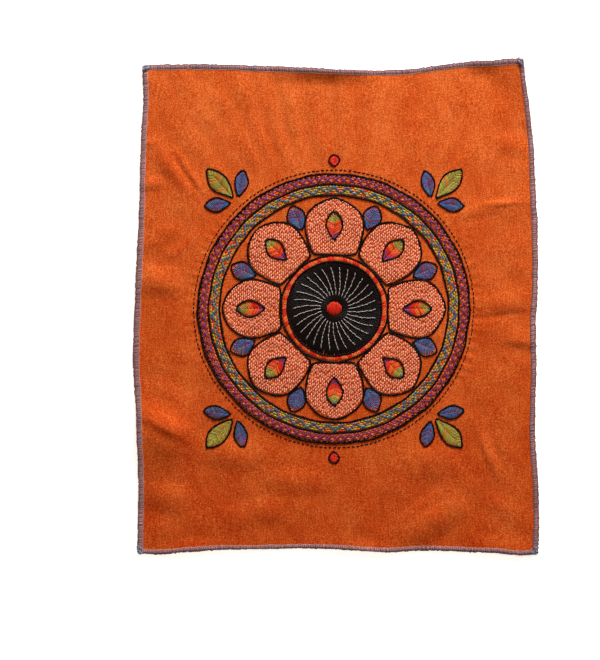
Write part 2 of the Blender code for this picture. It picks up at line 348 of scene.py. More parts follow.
# %% From arrays to an object
def add_piece(name, places, faces, finishes, finish_of=None, thread_map=None, tone=None):
    """One object from whole arrays. faces is a list of arrays, each with one face in a row.

    finish_of gives a material index for each of those arrays, thread_map a pair of numbers for each place
    and tone one number for each place.
    """
    mesh = bpy.data.meshes.new(name)
    corners = np.concatenate([block.ravel() for block in faces]).astype(np.int32)
    sizes = np.concatenate([np.full(len(block), block.shape[1]) for block in faces])
    mesh.vertices.add(len(places))
    mesh.vertices.foreach_set("co", np.asarray(places, dtype=np.float32).ravel())
    mesh.loops.add(len(corners))
    mesh.loops.foreach_set("vertex_index", corners)
    mesh.polygons.add(len(sizes))
    mesh.polygons.foreach_set("loop_start", (np.cumsum(sizes) - sizes).astype(np.int32))
    mesh.polygons.foreach_set("use_smooth", np.ones(len(sizes), dtype=bool))
    if finish_of is not None:
        index = np.concatenate([np.full(len(block), number) for block, number in zip(faces, finish_of)])
        mesh.polygons.foreach_set("material_index", index.astype(np.int32))
    if thread_map is not None:
        layer = mesh.uv_layers.new(name="Thread")
        layer.data.foreach_set("uv", np.asarray(thread_map, dtype=np.float32)[corners].ravel())
    if tone is not None:
        layer = mesh.attributes.new("tone", "FLOAT", "POINT")
        layer.data.foreach_set("value", np.asarray(tone, dtype=np.float32))
    mesh.update(calc_edges=True)
    mesh.validate()
    for finish in finishes:
        mesh.materials.append(finish)
    piece = bpy.data.objects.new(name, mesh)
    bpy.context.scene.collection.objects.link(piece)
    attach(piece, "root")
    return piece


print("meshes before the first piece:", len(bpy.data.meshes))

# %% [markdown]
# ## Finishes: cloth and thread
#
# A dyed colour is written the way a colour picker shows it, and turned into the linear light that a shader
# needs. Nodes are added with one short helper, which either links an input or sets it.

# %% Colours and new materials
SHEEN_ROUGHNESS = 0.5


def dye(red, green, blue):
    """A picker's colour, 0 to 255, as linear light."""
    shown = np.array((red, green, blue)) / 255
    linear = np.where(shown <= 0.04045, shown / 12.92, ((shown + 0.055) / 1.055) ** 2.4)
    return (*(float(part) for part in linear), 1.0)


def add_node(material, kind, settings=None, **inputs):
    """Adds a shader node. An input is linked when it is a socket, and set when it is a value."""
    tree = material.node_tree
    node = tree.nodes.new(kind)
    for name, value in (settings or {}).items():
        setattr(node, name, value)
    for name, value in inputs.items():
        socket = node.inputs[int(name[1:]) if name[1:].isdigit() else name.replace("_", " ")]
        if isinstance(value, bpy.types.NodeSocket):
            tree.links.new(value, socket)
        else:
            socket.default_value = value
    return node


def new_finish(name, roughness, sheen, specular):
    """A Principled material with the values that are the same all over it."""
    material = bpy.data.materials.new(name)
    material.use_nodes = True
    shader = material.node_tree.nodes["Principled BSDF"]
    shader.inputs["Roughness"].default_value = roughness
    shader.inputs["Sheen Weight"].default_value = sheen
    shader.inputs["Sheen Roughness"].default_value = SHEEN_ROUGHNESS
    shader.inputs["Specular IOR Level"].default_value = specular
    return material, shader


print("pure red dye as light:", dye(255, 0, 0))

# %% [markdown]
# Patterns are numbers first: noises and waves, each with a share, added up. A ramp then turns the sum into a
# colour.

# %% Patterns, sums and ramps
def arithmetic(material, operation, first, second):
    """A Math node of two inputs, as its output."""
    node = add_node(material, "ShaderNodeMath", {"operation": operation}, _0=first, _1=second)
    return node.outputs["Value"]


def sine(material, value):
    """The sine of a value, as a Math node's output."""
    return add_node(material, "ShaderNodeMath", {"operation": "SINE"}, _0=value).outputs["Value"]


def blend_values(material, parts):
    """A sum of patterns, each times its share."""
    total = None
    for value, share in parts:
        part = arithmetic(material, "MULTIPLY", value, share)
        total = part if total is None else arithmetic(material, "ADD", total, part)
    return total


def ramp(material, value, stops):
    """A colour ramp through (place, colour) stops."""
    node = add_node(material, "ShaderNodeValToRGB", _0=value)
    elements = node.color_ramp.elements
    while len(elements) < len(stops):
        elements.new(0.5)
    for element, (place, colour) in zip(elements, stops):
        element.position = place
        element.color = colour
    return node.outputs["Color"]


def connect(material, shader, colour, bump):
    """Links a colour and a bump to the shader."""
    material.node_tree.links.new(colour, shader.inputs["Base Color"])
    material.node_tree.links.new(bump.outputs["Normal"], shader.inputs["Normal"])


print("helpers for patterns are ready")

# %% [markdown]
# ## The cloth's finish
#
# The cloth is woven from uneven hand-spun yarn. Its colour has three scales: broad patches where the dye took
# more or less, flecks of about a millimetre, and streaks along warp and weft where a yarn runs thick. It is
# also painted a little lighter from the lower end to the upper one, as painted light from the lamp beyond the
# top edge. The weave itself, at about half a millimetre, is only felt as a bump. Each pattern is a noise
# whose scale is given per metre, or along each axis in turn.

# %% Slubbed orange cloth
CLOTH_DARK, CLOTH_MID, CLOTH_LIGHT = dye(170, 39, 3), dye(200, 82, 26), dye(229, 124, 62)
CLOTH_STOPS = ((0.39, CLOTH_DARK), (0.53, CLOTH_MID), (0.67, CLOTH_LIGHT))
Pattern = namedtuple("Pattern", "scale roughness share")
FLECKS = Pattern(1150.0, 0.7, 0.62)
WARP_STREAKS = Pattern((900.0, 150.0, 900.0), 0.55, 0.17)
WEFT_STREAKS = Pattern((190.0, 900.0, 900.0), 0.55, 0.10)
PATCHES = Pattern((48.0, 26.0, 48.0), 0.5, 0.17)
# Painted light: the colour is made lighter towards the upper end, where the lamp stands.
PAINTED_LIGHT_UPWARD_SHARE = 0.14
YARN_PITCH = 0.55 * MM
WEAVE_RELIEF, YARN_RELIEF = 0.12, 1.1


def noise_on(material, place, pattern):
    """A pattern's noise, as its value and its share."""
    scale = pattern.scale
    if isinstance(scale, tuple):
        place = add_node(material, "ShaderNodeMapping", Vector=place, Scale=scale).outputs["Vector"]
        scale = 1.0
    node = add_node(
        material, "ShaderNodeTexNoise", Vector=place, Scale=scale, Detail=2.0, Roughness=pattern.roughness
    )
    return node.outputs["Fac"], pattern.share


def cloth_finish():
    """Patches, flecks, streaks and upward painted light in colour; in relief the yarns, and a sine of X times
    a sine of Y.
    """
    material, shader = new_finish("slubbed_orange_cloth", roughness=0.95, sheen=0.02, specular=0.04)
    place = add_node(material, "ShaderNodeTexCoord").outputs["Object"]
    axes = add_node(material, "ShaderNodeSeparateXYZ", Vector=place).outputs
    fine_patterns = (FLECKS, WARP_STREAKS, WEFT_STREAKS)
    yarns = blend_values(material, [noise_on(material, place, pattern) for pattern in fine_patterns])
    patches = noise_on(material, place, PATCHES)
    # The Y axis, by its share, adds painted light that grows towards the upper end.
    mixed = blend_values(material, ((yarns, 1.0), patches, (axes["Y"], PAINTED_LIGHT_UPWARD_SHARE)))

    turns = 2 * math.pi / YARN_PITCH
    over, under = (sine(material, arithmetic(material, "MULTIPLY", axes[axis], turns)) for axis in "XY")
    weave = arithmetic(material, "MULTIPLY", over, under)
    relief = blend_values(material, ((weave, WEAVE_RELIEF), (yarns, YARN_RELIEF)))
    bump = add_node(material, "ShaderNodeBump", Strength=0.55, Distance=0.35 * MM, Height=relief)
    connect(material, shader, ramp(material, mixed, CLOTH_STOPS), bump)
    return material


orange_cloth = cloth_finish()
print("made the cloth's finish")

# %% [markdown]
# ## The threads' finishes
#
# Embroidery thread is a few soft strands lying side by side with a slight twist. Along a stitch the Thread
# map counts millimetres, and around it the map runs from 0 to 1, so a sine of both draws the strands as
# slanted grooves, in relief and, darker, as painted shade in the colour. Each stitch also carries a tone,
# because no two stitches catch the light or take the dye alike. A half sine around the thread paints its
# crown lighter and its sides darker, as a painted highlight on the crown and painted shade down where the
# neighbours touch.

# %% A thread in two tones
STRANDS, TWIST = 3.0, 1.4
# The crown's and the grooves' shares paint shade into the thread's colour: a painted highlight on the crown,
# painted shade at the sides and in the grooves.
TONE_SHARE, PAINTED_CROWN_SHARE, PAINTED_GROOVE_SHARE = 0.55, 0.38, 0.08
LIGHTEST_AT = 0.85


def thread_finish(name, light, dark, roughness=0.5, sheen=0.1, specular=0.3):
    """Dark to light by tone, and painted shade by crown (half sine around) and groove (sine of around plus
    along).
    """
    material, shader = new_finish(name, roughness, sheen, specular=specular)
    tone = add_node(material, "ShaderNodeAttribute", {"attribute_name": "tone"}).outputs["Fac"]
    mapped = add_node(material, "ShaderNodeUVMap", {"uv_map": "Thread"}).outputs["UV"]
    axes = add_node(material, "ShaderNodeSeparateXYZ", Vector=mapped).outputs
    across_strands = arithmetic(material, "MULTIPLY", axes["Y"], 2 * math.pi * STRANDS)
    along_twist = arithmetic(material, "MULTIPLY", axes["X"], TWIST * math.pi)
    groove = sine(material, arithmetic(material, "ADD", across_strands, along_twist))
    # Painted shade: the half sine around is light on the crown and dark at the sides, where neighbours touch.
    painted_crown_shade = sine(material, arithmetic(material, "MULTIPLY", axes["Y"], math.pi))
    shade = blend_values(material, ((tone, TONE_SHARE), (painted_crown_shade, PAINTED_CROWN_SHARE), (groove, PAINTED_GROOVE_SHARE)))
    bump = add_node(material, "ShaderNodeBump", Strength=0.5, Distance=0.12 * MM, Height=groove)
    connect(material, shader, ramp(material, shade, ((0.0, dark), (LIGHTEST_AT, light))), bump)
    return material


peach = thread_finish("peach_thread", dye(255, 165, 131), dye(194, 84, 54))
black = thread_finish("black_thread", dye(19, 9, 8), dye(6, 3, 2), sheen=0.0, specular=0.09)
grey = thread_finish("grey_thread", dye(190, 184, 184), dye(120, 114, 116))
blue = thread_finish("blue_thread", dye(70, 96, 160), dye(26, 40, 92))
teal = thread_finish("teal_thread", dye(66, 118, 136), dye(28, 66, 84))
red = thread_finish("red_thread", dye(236, 44, 18), dye(170, 22, 9), sheen=0.03, specular=0.2)
orange = thread_finish("orange_thread", dye(244, 118, 48), dye(202, 70, 24), sheen=0.03, specular=0.2)
purple = thread_finish("purple_thread", dye(142, 50, 108), dye(74, 18, 54))
olive = thread_finish("olive_thread", dye(184, 162, 58), dye(110, 94, 26))
lime = thread_finish("lime_thread", dye(166, 176, 62), dye(92, 106, 32))
mauve = thread_finish("mauve_thread", dye(206, 160, 158), dye(122, 80, 80), roughness=0.6)
plum = thread_finish("plum_thread", dye(150, 98, 102), dye(70, 36, 42), roughness=0.6)
slate = thread_finish("slate_thread", dye(150, 158, 182), dye(74, 84, 116), roughness=0.6)
lint = thread_finish("lint", dye(184, 172, 178), dye(84, 72, 82), roughness=0.8)
print("made", len(bpy.data.materials), "finishes so far")

# %% [markdown]
# ## The cloth
#
# The cloth is one closed sheet: a fine grid for its face, the same grid a cloth's thickness lower for its
# back, and a band of faces round the rim. It ends inside the edging, as overlocked cloth does.

# %% The sheet of cloth
CLOTH_THICKNESS = 0.55
CLOTH_PITCH = 1.42
TUCK = 1.0


def closed_sheet(face, back):
    """Vertices and faces of a closed sheet between two grids of places, both (rows, columns, 3)."""
    rows, columns = face.shape[:2]
    number = np.arange(rows * columns).reshape(rows, columns)
    up = np.stack((number[:-1, :-1], number[:-1, 1:], number[1:, 1:], number[1:, :-1]), axis=-1)
    up = up.reshape(-1, 4)
    down = up[:, ::-1] + rows * columns
    rim = np.concatenate((number[0], number[1:, -1], number[-1, -2::-1], number[-2:0:-1, 0]))
    following = np.roll(rim, -1)
    wall = np.column_stack((rim + rows * columns, following + rows * columns, following, rim))
    places = np.concatenate((face.reshape(-1, 3), back.reshape(-1, 3)))
    return places, [up, down, wall]


def evenly(length, pitch):
    """Places from one side of the middle to the other, close to the pitch asked for."""
    return np.linspace(-length / 2, length / 2, int(length / pitch) + 1)


t_lines, s_lines = evenly(CUT_HEIGHT - 2 * TUCK, CLOTH_PITCH), evenly(CUT_WIDTH - 2 * TUCK, CLOTH_PITCH)
t_grid, s_grid = np.meshgrid(t_lines, s_lines, indexing="ij")
cloth_face = on_cloth(s_grid, t_grid)
cloth = add_piece(
    "cloth", *closed_sheet(cloth_face, cloth_face - (0, 0, CLOTH_THICKNESS * MM)), [orange_cloth]
)
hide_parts("ground_cloth")
print("cloth grid:", t_grid.shape, "from z", round(cloth_face[..., 2].min() / MM, 2), "to",
      round(cloth_face[..., 2].max() / MM, 2), "mm")

# %% [markdown]
# ## One stitch, and then thousands
#
# A stitch of floss is a low arch: it comes up through the cloth, swells, and goes down again. Its cross
# section is half an oval on a flat base. Five sections and two points make a stitch of thirty faces, which is
# few enough to repeat thousands of times, and one on the cloth's back has nine. All stitches of a batch are
# made at once: the arrays have one axis for the stitch, one for the section along it and one for the corner
# around it.
#
# A floss says how a thread lies: its width and height in millimetres, how far the tones of its stitches
# spread, how far their ends wander from their marks, how far the stitch is lifted over others in its middle,
# and its mean tone.

# %% What a batch of stitches is given
Floss = namedtuple("Floss", "width height spread wander lift tone", defaults=(0.0, 0.0, 0.5))
FACE_SECTIONS, FACE_CORNERS = np.array([0.05, 0.22, 0.5, 0.78, 0.95]), np.linspace(0, np.pi, 5)
BACK_SECTIONS, BACK_CORNERS = np.array([0.2, 0.8]), np.linspace(0, np.pi, 3)
END_WIDTH, END_HEIGHT = 0.4, 0.2
TIP_DEPTH, SUNK = 0.10, 0.04
LIFT_POWER = 6
LONGEST_TWIST_START = 9


def on_back(s, t, level=0.0):
    """A place on the cloth's back, with level counted downward."""
    return on_cloth(s, t, -CLOTH_THICKNESS - level)


print("a stitch has", len(FACE_SECTIONS), "sections of", len(FACE_CORNERS), "corners")

# %% The shape of a stitch
def stitch_places(start, end, floss, where, below):
    """Places of each stitch's rings and tips, the two numbers of the rings' thread map, and the lengths.

    Width and height follow the square root of a half sine along the stitch. Around it the height is a half
    sine. A lift raises it by one less a sixth power, which is flat in the middle and steep at the ends.
    """
    count = len(start)
    sections, corners = (BACK_SECTIONS, BACK_CORNERS) if below else (FACE_SECTIONS, FACE_CORNERS)
    run = end - start
    length = np.hypot(*run.T)
    across = np.column_stack((-run[:, 1], run[:, 0])) / length[:, None]
    plump = np.sqrt(np.sin(np.pi * sections))
    half = np.broadcast_to(floss.width, count)[:, None] * (END_WIDTH + (1 - END_WIDTH) * plump) / 2
    tall = np.broadcast_to(floss.height, count)[:, None] * (END_HEIGHT + (1 - END_HEIGHT) * plump)
    arch = np.broadcast_to(floss.lift, count)[:, None] * (1 - (2 * sections - 1) ** LIFT_POWER)
    sideways = np.cos(corners) * (-1 if below else 1)
    centre = start[:, None] + sections[:, None] * run[:, None]
    flat = centre[:, :, None] + across[:, None, None] * (half[..., None] * sideways)[..., None]
    level = arch[..., None] + tall[..., None] * np.sin(corners) - SUNK
    rings = where(flat[..., 0], flat[..., 1], level)
    ends = np.stack((start, end), axis=1)
    tips = where(ends[..., 0], ends[..., 1], np.full((count, 2), -TIP_DEPTH))
    gone = np.broadcast_to(length[:, None, None] * sections[:, None], rings.shape[:3])
    turn = np.broadcast_to(corners / np.pi, rings.shape[:3])
    return rings, tips, gone, turn, length


def stitch_faces(count, ring_count, corner_count):
    """Quads between a stitch's rings and triangles to its tips, for all stitches: rings first, tips after."""
    number = np.arange(count * ring_count * corner_count).reshape(count, ring_count, corner_count)
    following = np.roll(number, -1, axis=2)
    sides = np.stack((number[:, :-1], following[:, :-1], following[:, 1:], number[:, 1:]), axis=-1)
    first_tip = number.size + 2 * np.arange(count)[:, None] + np.zeros(corner_count, dtype=int)
    near = np.stack((first_tip, following[:, 0], number[:, 0]), axis=-1)
    far = np.stack((number[:, -1], following[:, -1], first_tip + 1), axis=-1)
    return [sides.reshape(-1, 4), near.reshape(-1, 3), far.reshape(-1, 3)]


one_stitch = stitch_faces(1, len(FACE_SECTIONS), len(FACE_CORNERS))
print("faces of one stitch:", sum(len(block) for block in one_stitch))

# %% A batch of stitches, and pieces sewn from batches
def stitches(start, end, floss, finish, seed, where=on_cloth, below=False):
    """A batch of stitches from each start to each end, as arrays, each with its own tone and twist.

    Where level is counted downward, below mirrors the section, so faces still point outward.
    """
    start, end = np.atleast_2d(start).astype(float), np.atleast_2d(end).astype(float)
    count = len(start)
    random = np.random.default_rng(seed)
    rings, tips, gone, turn, length = stitch_places(start, end, floss, where, below)
    own_tone = np.clip(floss.tone + floss.spread * random.uniform(-1, 1, count), 0, 1)
    begin = random.uniform(0, LONGEST_TWIST_START, count)
    tip_gone = np.column_stack((begin, begin + length))
    ring_map = np.stack((begin[:, None, None] + gone, turn), axis=-1)
    # Around-number 0 at the tips gives each stitch's ends the painted shade of its sides.
    tip_map = np.stack((tip_gone, np.zeros_like(tip_gone)), axis=-1)
    places_each = rings.shape[1] * rings.shape[2]
    return {
        "places": np.concatenate((rings.reshape(-1, 3), tips.reshape(-1, 3))),
        "faces": stitch_faces(*rings.shape[:3]),
        "thread_map": np.concatenate((ring_map.reshape(-1, 2), tip_map.reshape(-1, 2))),
        "tone": np.concatenate((np.repeat(own_tone, places_each), np.repeat(own_tone, 2))),
        "finish": finish,
        "count": count,
    }


on_cloth_pieces, stitch_total = [], []


def sewn_piece(name, batches, replaces=()):
    """Joins batches of stitches into one piece, with one material for each finish."""
    finishes = list(dict.fromkeys(batch["finish"] for batch in batches))
    faces, finish_of, first = [], [], 0
    for batch in batches:
        faces += [block + first for block in batch["faces"]]
        finish_of += [finishes.index(batch["finish"])] * len(batch["faces"])
        first += len(batch["places"])
    places, thread_map, tone = (
        np.concatenate([batch[key] for batch in batches]) for key in ("places", "thread_map", "tone")
    )
    piece = add_piece(name, places, faces, finishes, finish_of, thread_map, tone)
    if replaces:
        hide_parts(*replaces)
    on_cloth_pieces.append(piece)
    stitch_total.append(sum(batch["count"] for batch in batches))


print("nothing sewn yet:", stitch_total)

# %% [markdown]
# ## Shapes of the flower
#
# The drawing on the cloth is the same as the CAD pads': petals that are blunt wedges with domed ends, leaves
# with two points, and rings. Every shape is given by its half width along its own line, so both its outline
# and the rows that fill it come from one formula.

# %% Petals and leaves, in the medallion's own places
PETAL_COUNT, PETAL_BASE, PETAL_TIP, PETAL_SIDE_GAP = 8, 37.0, 74.6, 1.45
PETAL_POWER, PETAL_ROOT = 2.7, 0.72
LEAF_LEAN, LEAF_FULLNESS = 0.85, 1.25
Leaf = namedtuple("Leaf", "turn start length half_width")
TIP_LEAF = Leaf(0, 57.6, 17.4, 6.0)
FLAME = Leaf(0, 46.0, 20.0, 5.6)
CORNERS = ((1, 1), (-1, 1), (-1, -1), (1, -1))


def petal_half_width(along):
    """A wedge of the petal's angle, less its gap, closed by a blunt power curve at the tip."""
    share = np.clip((along - PETAL_BASE) / (PETAL_TIP - PETAL_BASE), 0, 1)
    side = along * math.tan(math.pi / PETAL_COUNT) - PETAL_SIDE_GAP
    return side * (1 - share**PETAL_POWER) ** PETAL_ROOT


def leaf_half_width(leaf, along):
    """A sine that leans to the tip, raised to a power so that both ends are pointed."""
    share = np.clip((along - leaf.start) / leaf.length, 0, 1)
    return leaf.half_width * np.sin(np.pi * (1 - (1 - share) ** LEAF_LEAN)) ** LEAF_FULLNESS


def turned(points, degrees, origin=(0, 0)):
    """Points turned about zero and then moved to the origin given."""
    cos, sin = math.cos(math.radians(degrees)), math.sin(math.radians(degrees))
    return np.asarray(points) @ np.array(((cos, sin), (-sin, cos))) + origin


def around(radius, angle):
    """Places on a ring, from angles in radians."""
    return np.stack((radius * np.cos(angle), radius * np.sin(angle)), axis=-1)


widest_half = petal_half_width(np.linspace(PETAL_BASE, PETAL_TIP)).max()
print("a petal is", round(2 * float(widest_half), 1), "mm wide")

# %% [markdown]
# ## Sewing by hand
#
# Stitches of the medallion are sewn through one function, which moves each end a little off its mark, as a
# hand does. It also keeps a list of what was sewn, in order, because the back of the cloth follows from it.

# %% Sewing in one colour and in mixed colours
sewn_so_far = []


def sew(start, end, floss, finish, seed):
    """Stitches between places of the medallion, each end moved by a small random step."""
    random = np.random.default_rng(seed)
    start, end = (
        np.asarray(ends) + random.normal(0, floss.wander, np.shape(ends)) + (MOTIF_S, MOTIF_T)
        for ends in (start, end)
    )
    sewn_so_far.append((start, end, finish))
    return stitches(start, end, floss, finish, seed)


def sew_mixed(start, end, floss, shares, seed):
    """Batches of one set of stitches whose colours are drawn at random, each finish with its share."""
    finishes, odds = zip(*shares)
    drawn = np.random.default_rng(seed).choice(len(finishes), len(start), p=odds)
    for number in np.unique(drawn):
        these = drawn == number
        yield sew(start[these], end[these], floss, finishes[number], seed + int(number))


print("batches sewn so far:", len(sewn_so_far))

# %% [markdown]
# ## Petals: rows of short peach stitches
#
# The petals are filled with short straight stitches in rows. All the rows run the same way, up the cloth,
# whichever way the petal lies, because the hand turns the work as little as it can. Each row starts half a
# stitch from its neighbour, like bricks, so the little dark gaps between stitches never line up. A row ends
# where the petal's outline does, and a tear-shaped flame in the middle stays free for bright satin stitches.

# %% Rows of stitches for a petal
ROW_PITCH, STITCH_PITCH, STITCH_LENGTH = 1.34, 2.45, 2.35
ROW_SLANT, ROW_WAVE, WAVE_LENGTH = 0.12, 0.55, 5.5
ALONG_JITTER, ACROSS_JITTER, SLANT_JITTER = 0.36, 0.11, 0.14
SHORTEST_HALF, LONGEST_HALF = 0.44, 0.56
FILL_MARGIN, FLAME_MARGIN, LEAST_FLAME = 0.35, 0.55, 0.2
ROWS_EACH_WAY, STEPS_EACH_WAY = 16, 9
PROBES, LEAST_FREE = 25, 0.4


def in_petal(points, degrees):
    """Whether places are inside the petal at an angle, and whether they are inside its flame."""
    along, across = np.moveaxis(turned(points, -degrees), -1, 0)
    flame = leaf_half_width(FLAME, along)
    in_shape = (np.abs(across) < petal_half_width(along) - FILL_MARGIN) & (along > PETAL_BASE + FILL_MARGIN)
    return in_shape, (np.abs(across) < flame + FLAME_MARGIN) & (flame > LEAST_FLAME)


def petal_fill(degrees, seed):
    """Starts and ends of the brick-like rows inside the petal at an angle.

    A row follows a slow sine across its run, and each stitch slants with it. A stitch is cut to the part of
    it that is free, and left out where less than a share of it is.
    """
    random = np.random.default_rng(seed)
    middle_s, middle_t = around((PETAL_BASE + PETAL_TIP) / 2, math.radians(degrees))
    rows = np.arange(-ROWS_EACH_WAY, ROWS_EACH_WAY + 1)
    steps = np.arange(-STEPS_EACH_WAY, STEPS_EACH_WAY + 1)
    row, step = (grid.ravel() for grid in np.meshgrid(rows, steps, indexing="ij"))
    brick = (step + 0.5 * (row % 2)) * STITCH_PITCH
    along = middle_t + brick + random.normal(0, ALONG_JITTER, row.shape)
    across = middle_s + row * ROW_PITCH + random.normal(0, ACROSS_JITTER, row.shape)
    across = across + ROW_WAVE * np.sin(along / WAVE_LENGTH)
    follow = STITCH_LENGTH / 2 * ROW_WAVE / WAVE_LENGTH * np.cos(along / WAVE_LENGTH)
    slant = random.normal(ROW_SLANT, SLANT_JITTER, row.shape) + follow
    half = STITCH_LENGTH * random.uniform(SHORTEST_HALF, LONGEST_HALF, row.shape)

    share = np.linspace(-1, 1, PROBES)[:, None]
    places = np.stack((across + share * slant, along + share * half), axis=-1)
    in_shape, in_flame = in_petal(places, degrees)
    free = in_shape & ~in_flame
    first, last = free.argmax(0), len(share) - 1 - free[::-1].argmax(0)
    keep = (free.mean(0) > LEAST_FREE) & ~in_flame[len(share) // 2]
    number = np.arange(row.size)[keep]
    return places[first[keep], number], places[last[keep], number]


print("stitches that fill the first petal:", len(petal_fill(0, seed=20)[0]))

# %% [markdown]
# A flame, like a leaf, is fishbone stitch: from a middle line the stitches slant out to the edge and towards
# the tip, on both sides. Its thread changes colour along it, in blocks that are seldom pure. The table gives
# each block's start and end, as distances from the medallion's middle, and the share of each thread in it.

# %% Fishbone rows, and the petals
FISHBONE_START, FISHBONE_OVERLAP, LEAST_REACH = 0.4, 0.25, 0.5
FLAME_PITCH, FLAME_RISE = 0.85, 2.6
PEACH_FLOSS = Floss(1.08, 0.72, spread=0.45, wander=0.05)
FLAME_FLOSS = Floss(0.95, 0.50, spread=0.45, wander=0.08)
FLAME_BLOCKS = (
    (46, 50, ((purple, 0.9), (red, 0.1))),
    (50, 54, ((red, 0.85), (orange, 0.15))),
    (54, 58, ((orange, 0.8), (red, 0.2))),
    (58, 62, ((olive, 0.7), (lime, 0.2), (orange, 0.1))),
    (62, 67, ((teal, 0.6), (blue, 0.4))),
)


def leaf_rows(leaf, pitch, rise):
    """Fishbone stitches: from just past the leaf's middle line out to its edge, a rise nearer to its tip."""
    middle = np.arange(leaf.start + FISHBONE_START, leaf.start + leaf.length - rise, pitch)
    reach = leaf_half_width(leaf, middle + rise)
    middle, reach = middle[reach > LEAST_REACH], reach[reach > LEAST_REACH]
    level = np.ones_like(middle)
    starts = [np.column_stack((middle, -FISHBONE_OVERLAP * side * level)) for side in (1, -1)]
    ends = [np.column_stack((middle + rise, side * reach)) for side in (1, -1)]
    return np.concatenate(starts), np.concatenate(ends)


def flame_batches(degrees, seed):
    """Fishbone rows of the petal's flame, in blocks of colour along it."""
    start, end = leaf_rows(FLAME, FLAME_PITCH, FLAME_RISE)
    for low, high, shares in FLAME_BLOCKS:
        block = (start[:, 0] >= low) & (start[:, 0] < high)
        yield from sew_mixed(
            turned(start[block], degrees), turned(end[block], degrees), FLAME_FLOSS, shares, seed + low
        )


for number in range(PETAL_COUNT):
    degrees = number * 360 / PETAL_COUNT
    fill = sew(*petal_fill(degrees, seed=20 + number), PEACH_FLOSS, peach, seed=40 + number)
    flame = flame_batches(degrees, seed=600 + 30 * number)
    sewn_piece(f"petal_stitches_{number + 1}", [fill, *flame], [f"petal_{number + 1}"])
print("petal stitches:", stitch_total)

# %% [markdown]
# ## The seed head
#
# The black centre is laid in long radial stitches, zone by zone, with more of them in each zone further out
# so that the thread always lies side by side. Fine grey lines are sewn over the black afterwards, and a red
# eye in satin stitch covers the place where all of it meets.

# %% Black zones
Zone = namedtuple("Zone", "inner outer count")
BLACK_ZONES = (Zone(4.4, 12.6, 44), Zone(9.8, 19.4, 84), Zone(16.6, 26.4, 128), Zone(23.4, 32.5, 182))
BLACK_FLOSS = Floss(1.0, 0.50, spread=0.45, wander=0.05)
OVERFILL = 1.55
ANGLE_JITTER = 0.004
RAGGED_START, RAGGED_END = 0.5, 0.25


def radial(zone, seed):
    """Radial stitches of one zone, with ragged ends, and a floss that more than fills its middle radius."""
    random = np.random.default_rng(seed)
    angle = np.linspace(0, 2 * np.pi, zone.count, endpoint=False) + random.normal(0, ANGLE_JITTER, zone.count)
    ragged = random.uniform(-1, 1, (2, zone.count))
    start = around(zone.inner + RAGGED_START * ragged[0], angle)
    end = around(zone.outer + RAGGED_END * ragged[1], angle)
    width = OVERFILL * np.pi * (zone.inner + zone.outer) / zone.count
    return start, end, BLACK_FLOSS._replace(width=width)


black_batches = [
    sew(*radial(zone, seed=80 + number), black, seed=84 + number) for number, zone in enumerate(BLACK_ZONES)
]
print("black stitches:", sum(batch["count"] for batch in black_batches))

# %% Grey rays over the black
RAY_COUNT, RAY_INNER, RAY_OUTER, RAY_STITCH = 30, 9.0, 29.9, 2.7
RAY_SWEEP = 0.22
RAY_OVERLAP = 0.5
RAY_FLOSS = Floss(0.56, 0.34, spread=0.25, wander=0.16, lift=0.55)


def swept(radius, angle):
    """Places on gently curved rays: the angle grows evenly with the radius."""
    place = around(radius, angle + RAY_SWEEP * (radius - RAY_INNER) / (RAY_OUTER - RAY_INNER))
    return place.reshape(-1, 2)


ray_angle, ray_radius = np.meshgrid(
    np.linspace(0, 2 * np.pi, RAY_COUNT, endpoint=False),
    np.arange(RAY_INNER, RAY_OUTER - RAY_STITCH, RAY_STITCH),
    indexing="ij",
)
ray_end = swept(ray_radius + RAY_STITCH + RAY_OVERLAP, ray_angle)
rays = sew(swept(ray_radius, ray_angle), ray_end, RAY_FLOSS, grey, seed=90)
sewn_piece("seed_head_stitches", [*black_batches, rays], ["seed_head"])
print("seed head:", stitch_total[-1], "stitches")

# %% The red eye
EYE_RADIUS, EYE_REACH, EYE_PITCH = 5.0, 4.4, 0.88
EYE_FLOSS = Floss(1.05, 0.55, spread=0.25, wander=0.08, lift=0.5)

eye_across = np.arange(-EYE_REACH, EYE_REACH + 0.1, EYE_PITCH)
eye_half = np.sqrt(EYE_RADIUS**2 - eye_across**2)
eye_low, eye_high = np.column_stack((eye_across, -eye_half)), np.column_stack((eye_across, eye_half))
sewn_piece("eye_stitches", [sew(eye_low, eye_high, EYE_FLOSS, red, seed=92)], ["flower_eye"])
print("eye:", stitch_total[-1], "stitches")

# %% [markdown]
# ## Bands of pattern
#
# Three rings carry pattern, as borders do. The narrow ring is satin stitch in blocks of red and orange. The
# middle band is filled with short stitches in which olive, lime and orange are mixed as the thread came to
# hand, under a zigzag of teal and blue. The outer one has rows of orange running stitch under a lattice of
# purple, with black ticks along its rim. Each is first laid out as if it were a straight ribbon, with one
# number along it and one across, and then bent round the medallion.

# %% Ribbons bent into rings
def ribbon(along, across, band):
    """A place of a straight ribbon bent into a ring: along in millimetres at its middle radius."""
    inner, outer = band
    middle = (inner + outer) / 2
    return around(inner + across * (outer - inner), along / middle)


def ring_length(band):
    """The length of a band's middle circle."""
    return math.pi * sum(band)


def ring_nodes(name):
    """The names of a ring's four CAD solids."""
    return [f"{name}_{quarter}" for quarter in range(1, 5)]


print("the check ring's nodes:", ring_nodes("check_ring"))

# %% The narrow ring in satin stitch
CHECK_RING = (32.1, 35.3)
CHECK_PITCH, CHECK_SLANT, CHECK_MARGIN = 0.80, 1.0, 0.01
CHECK_BLOCKS = ((6, red), (5, orange), (4, red), (7, orange))
STRAY_SHARE = 0.05
CHECK_FLOSS = Floss(0.95, 0.50, spread=0.45, wander=0.12)


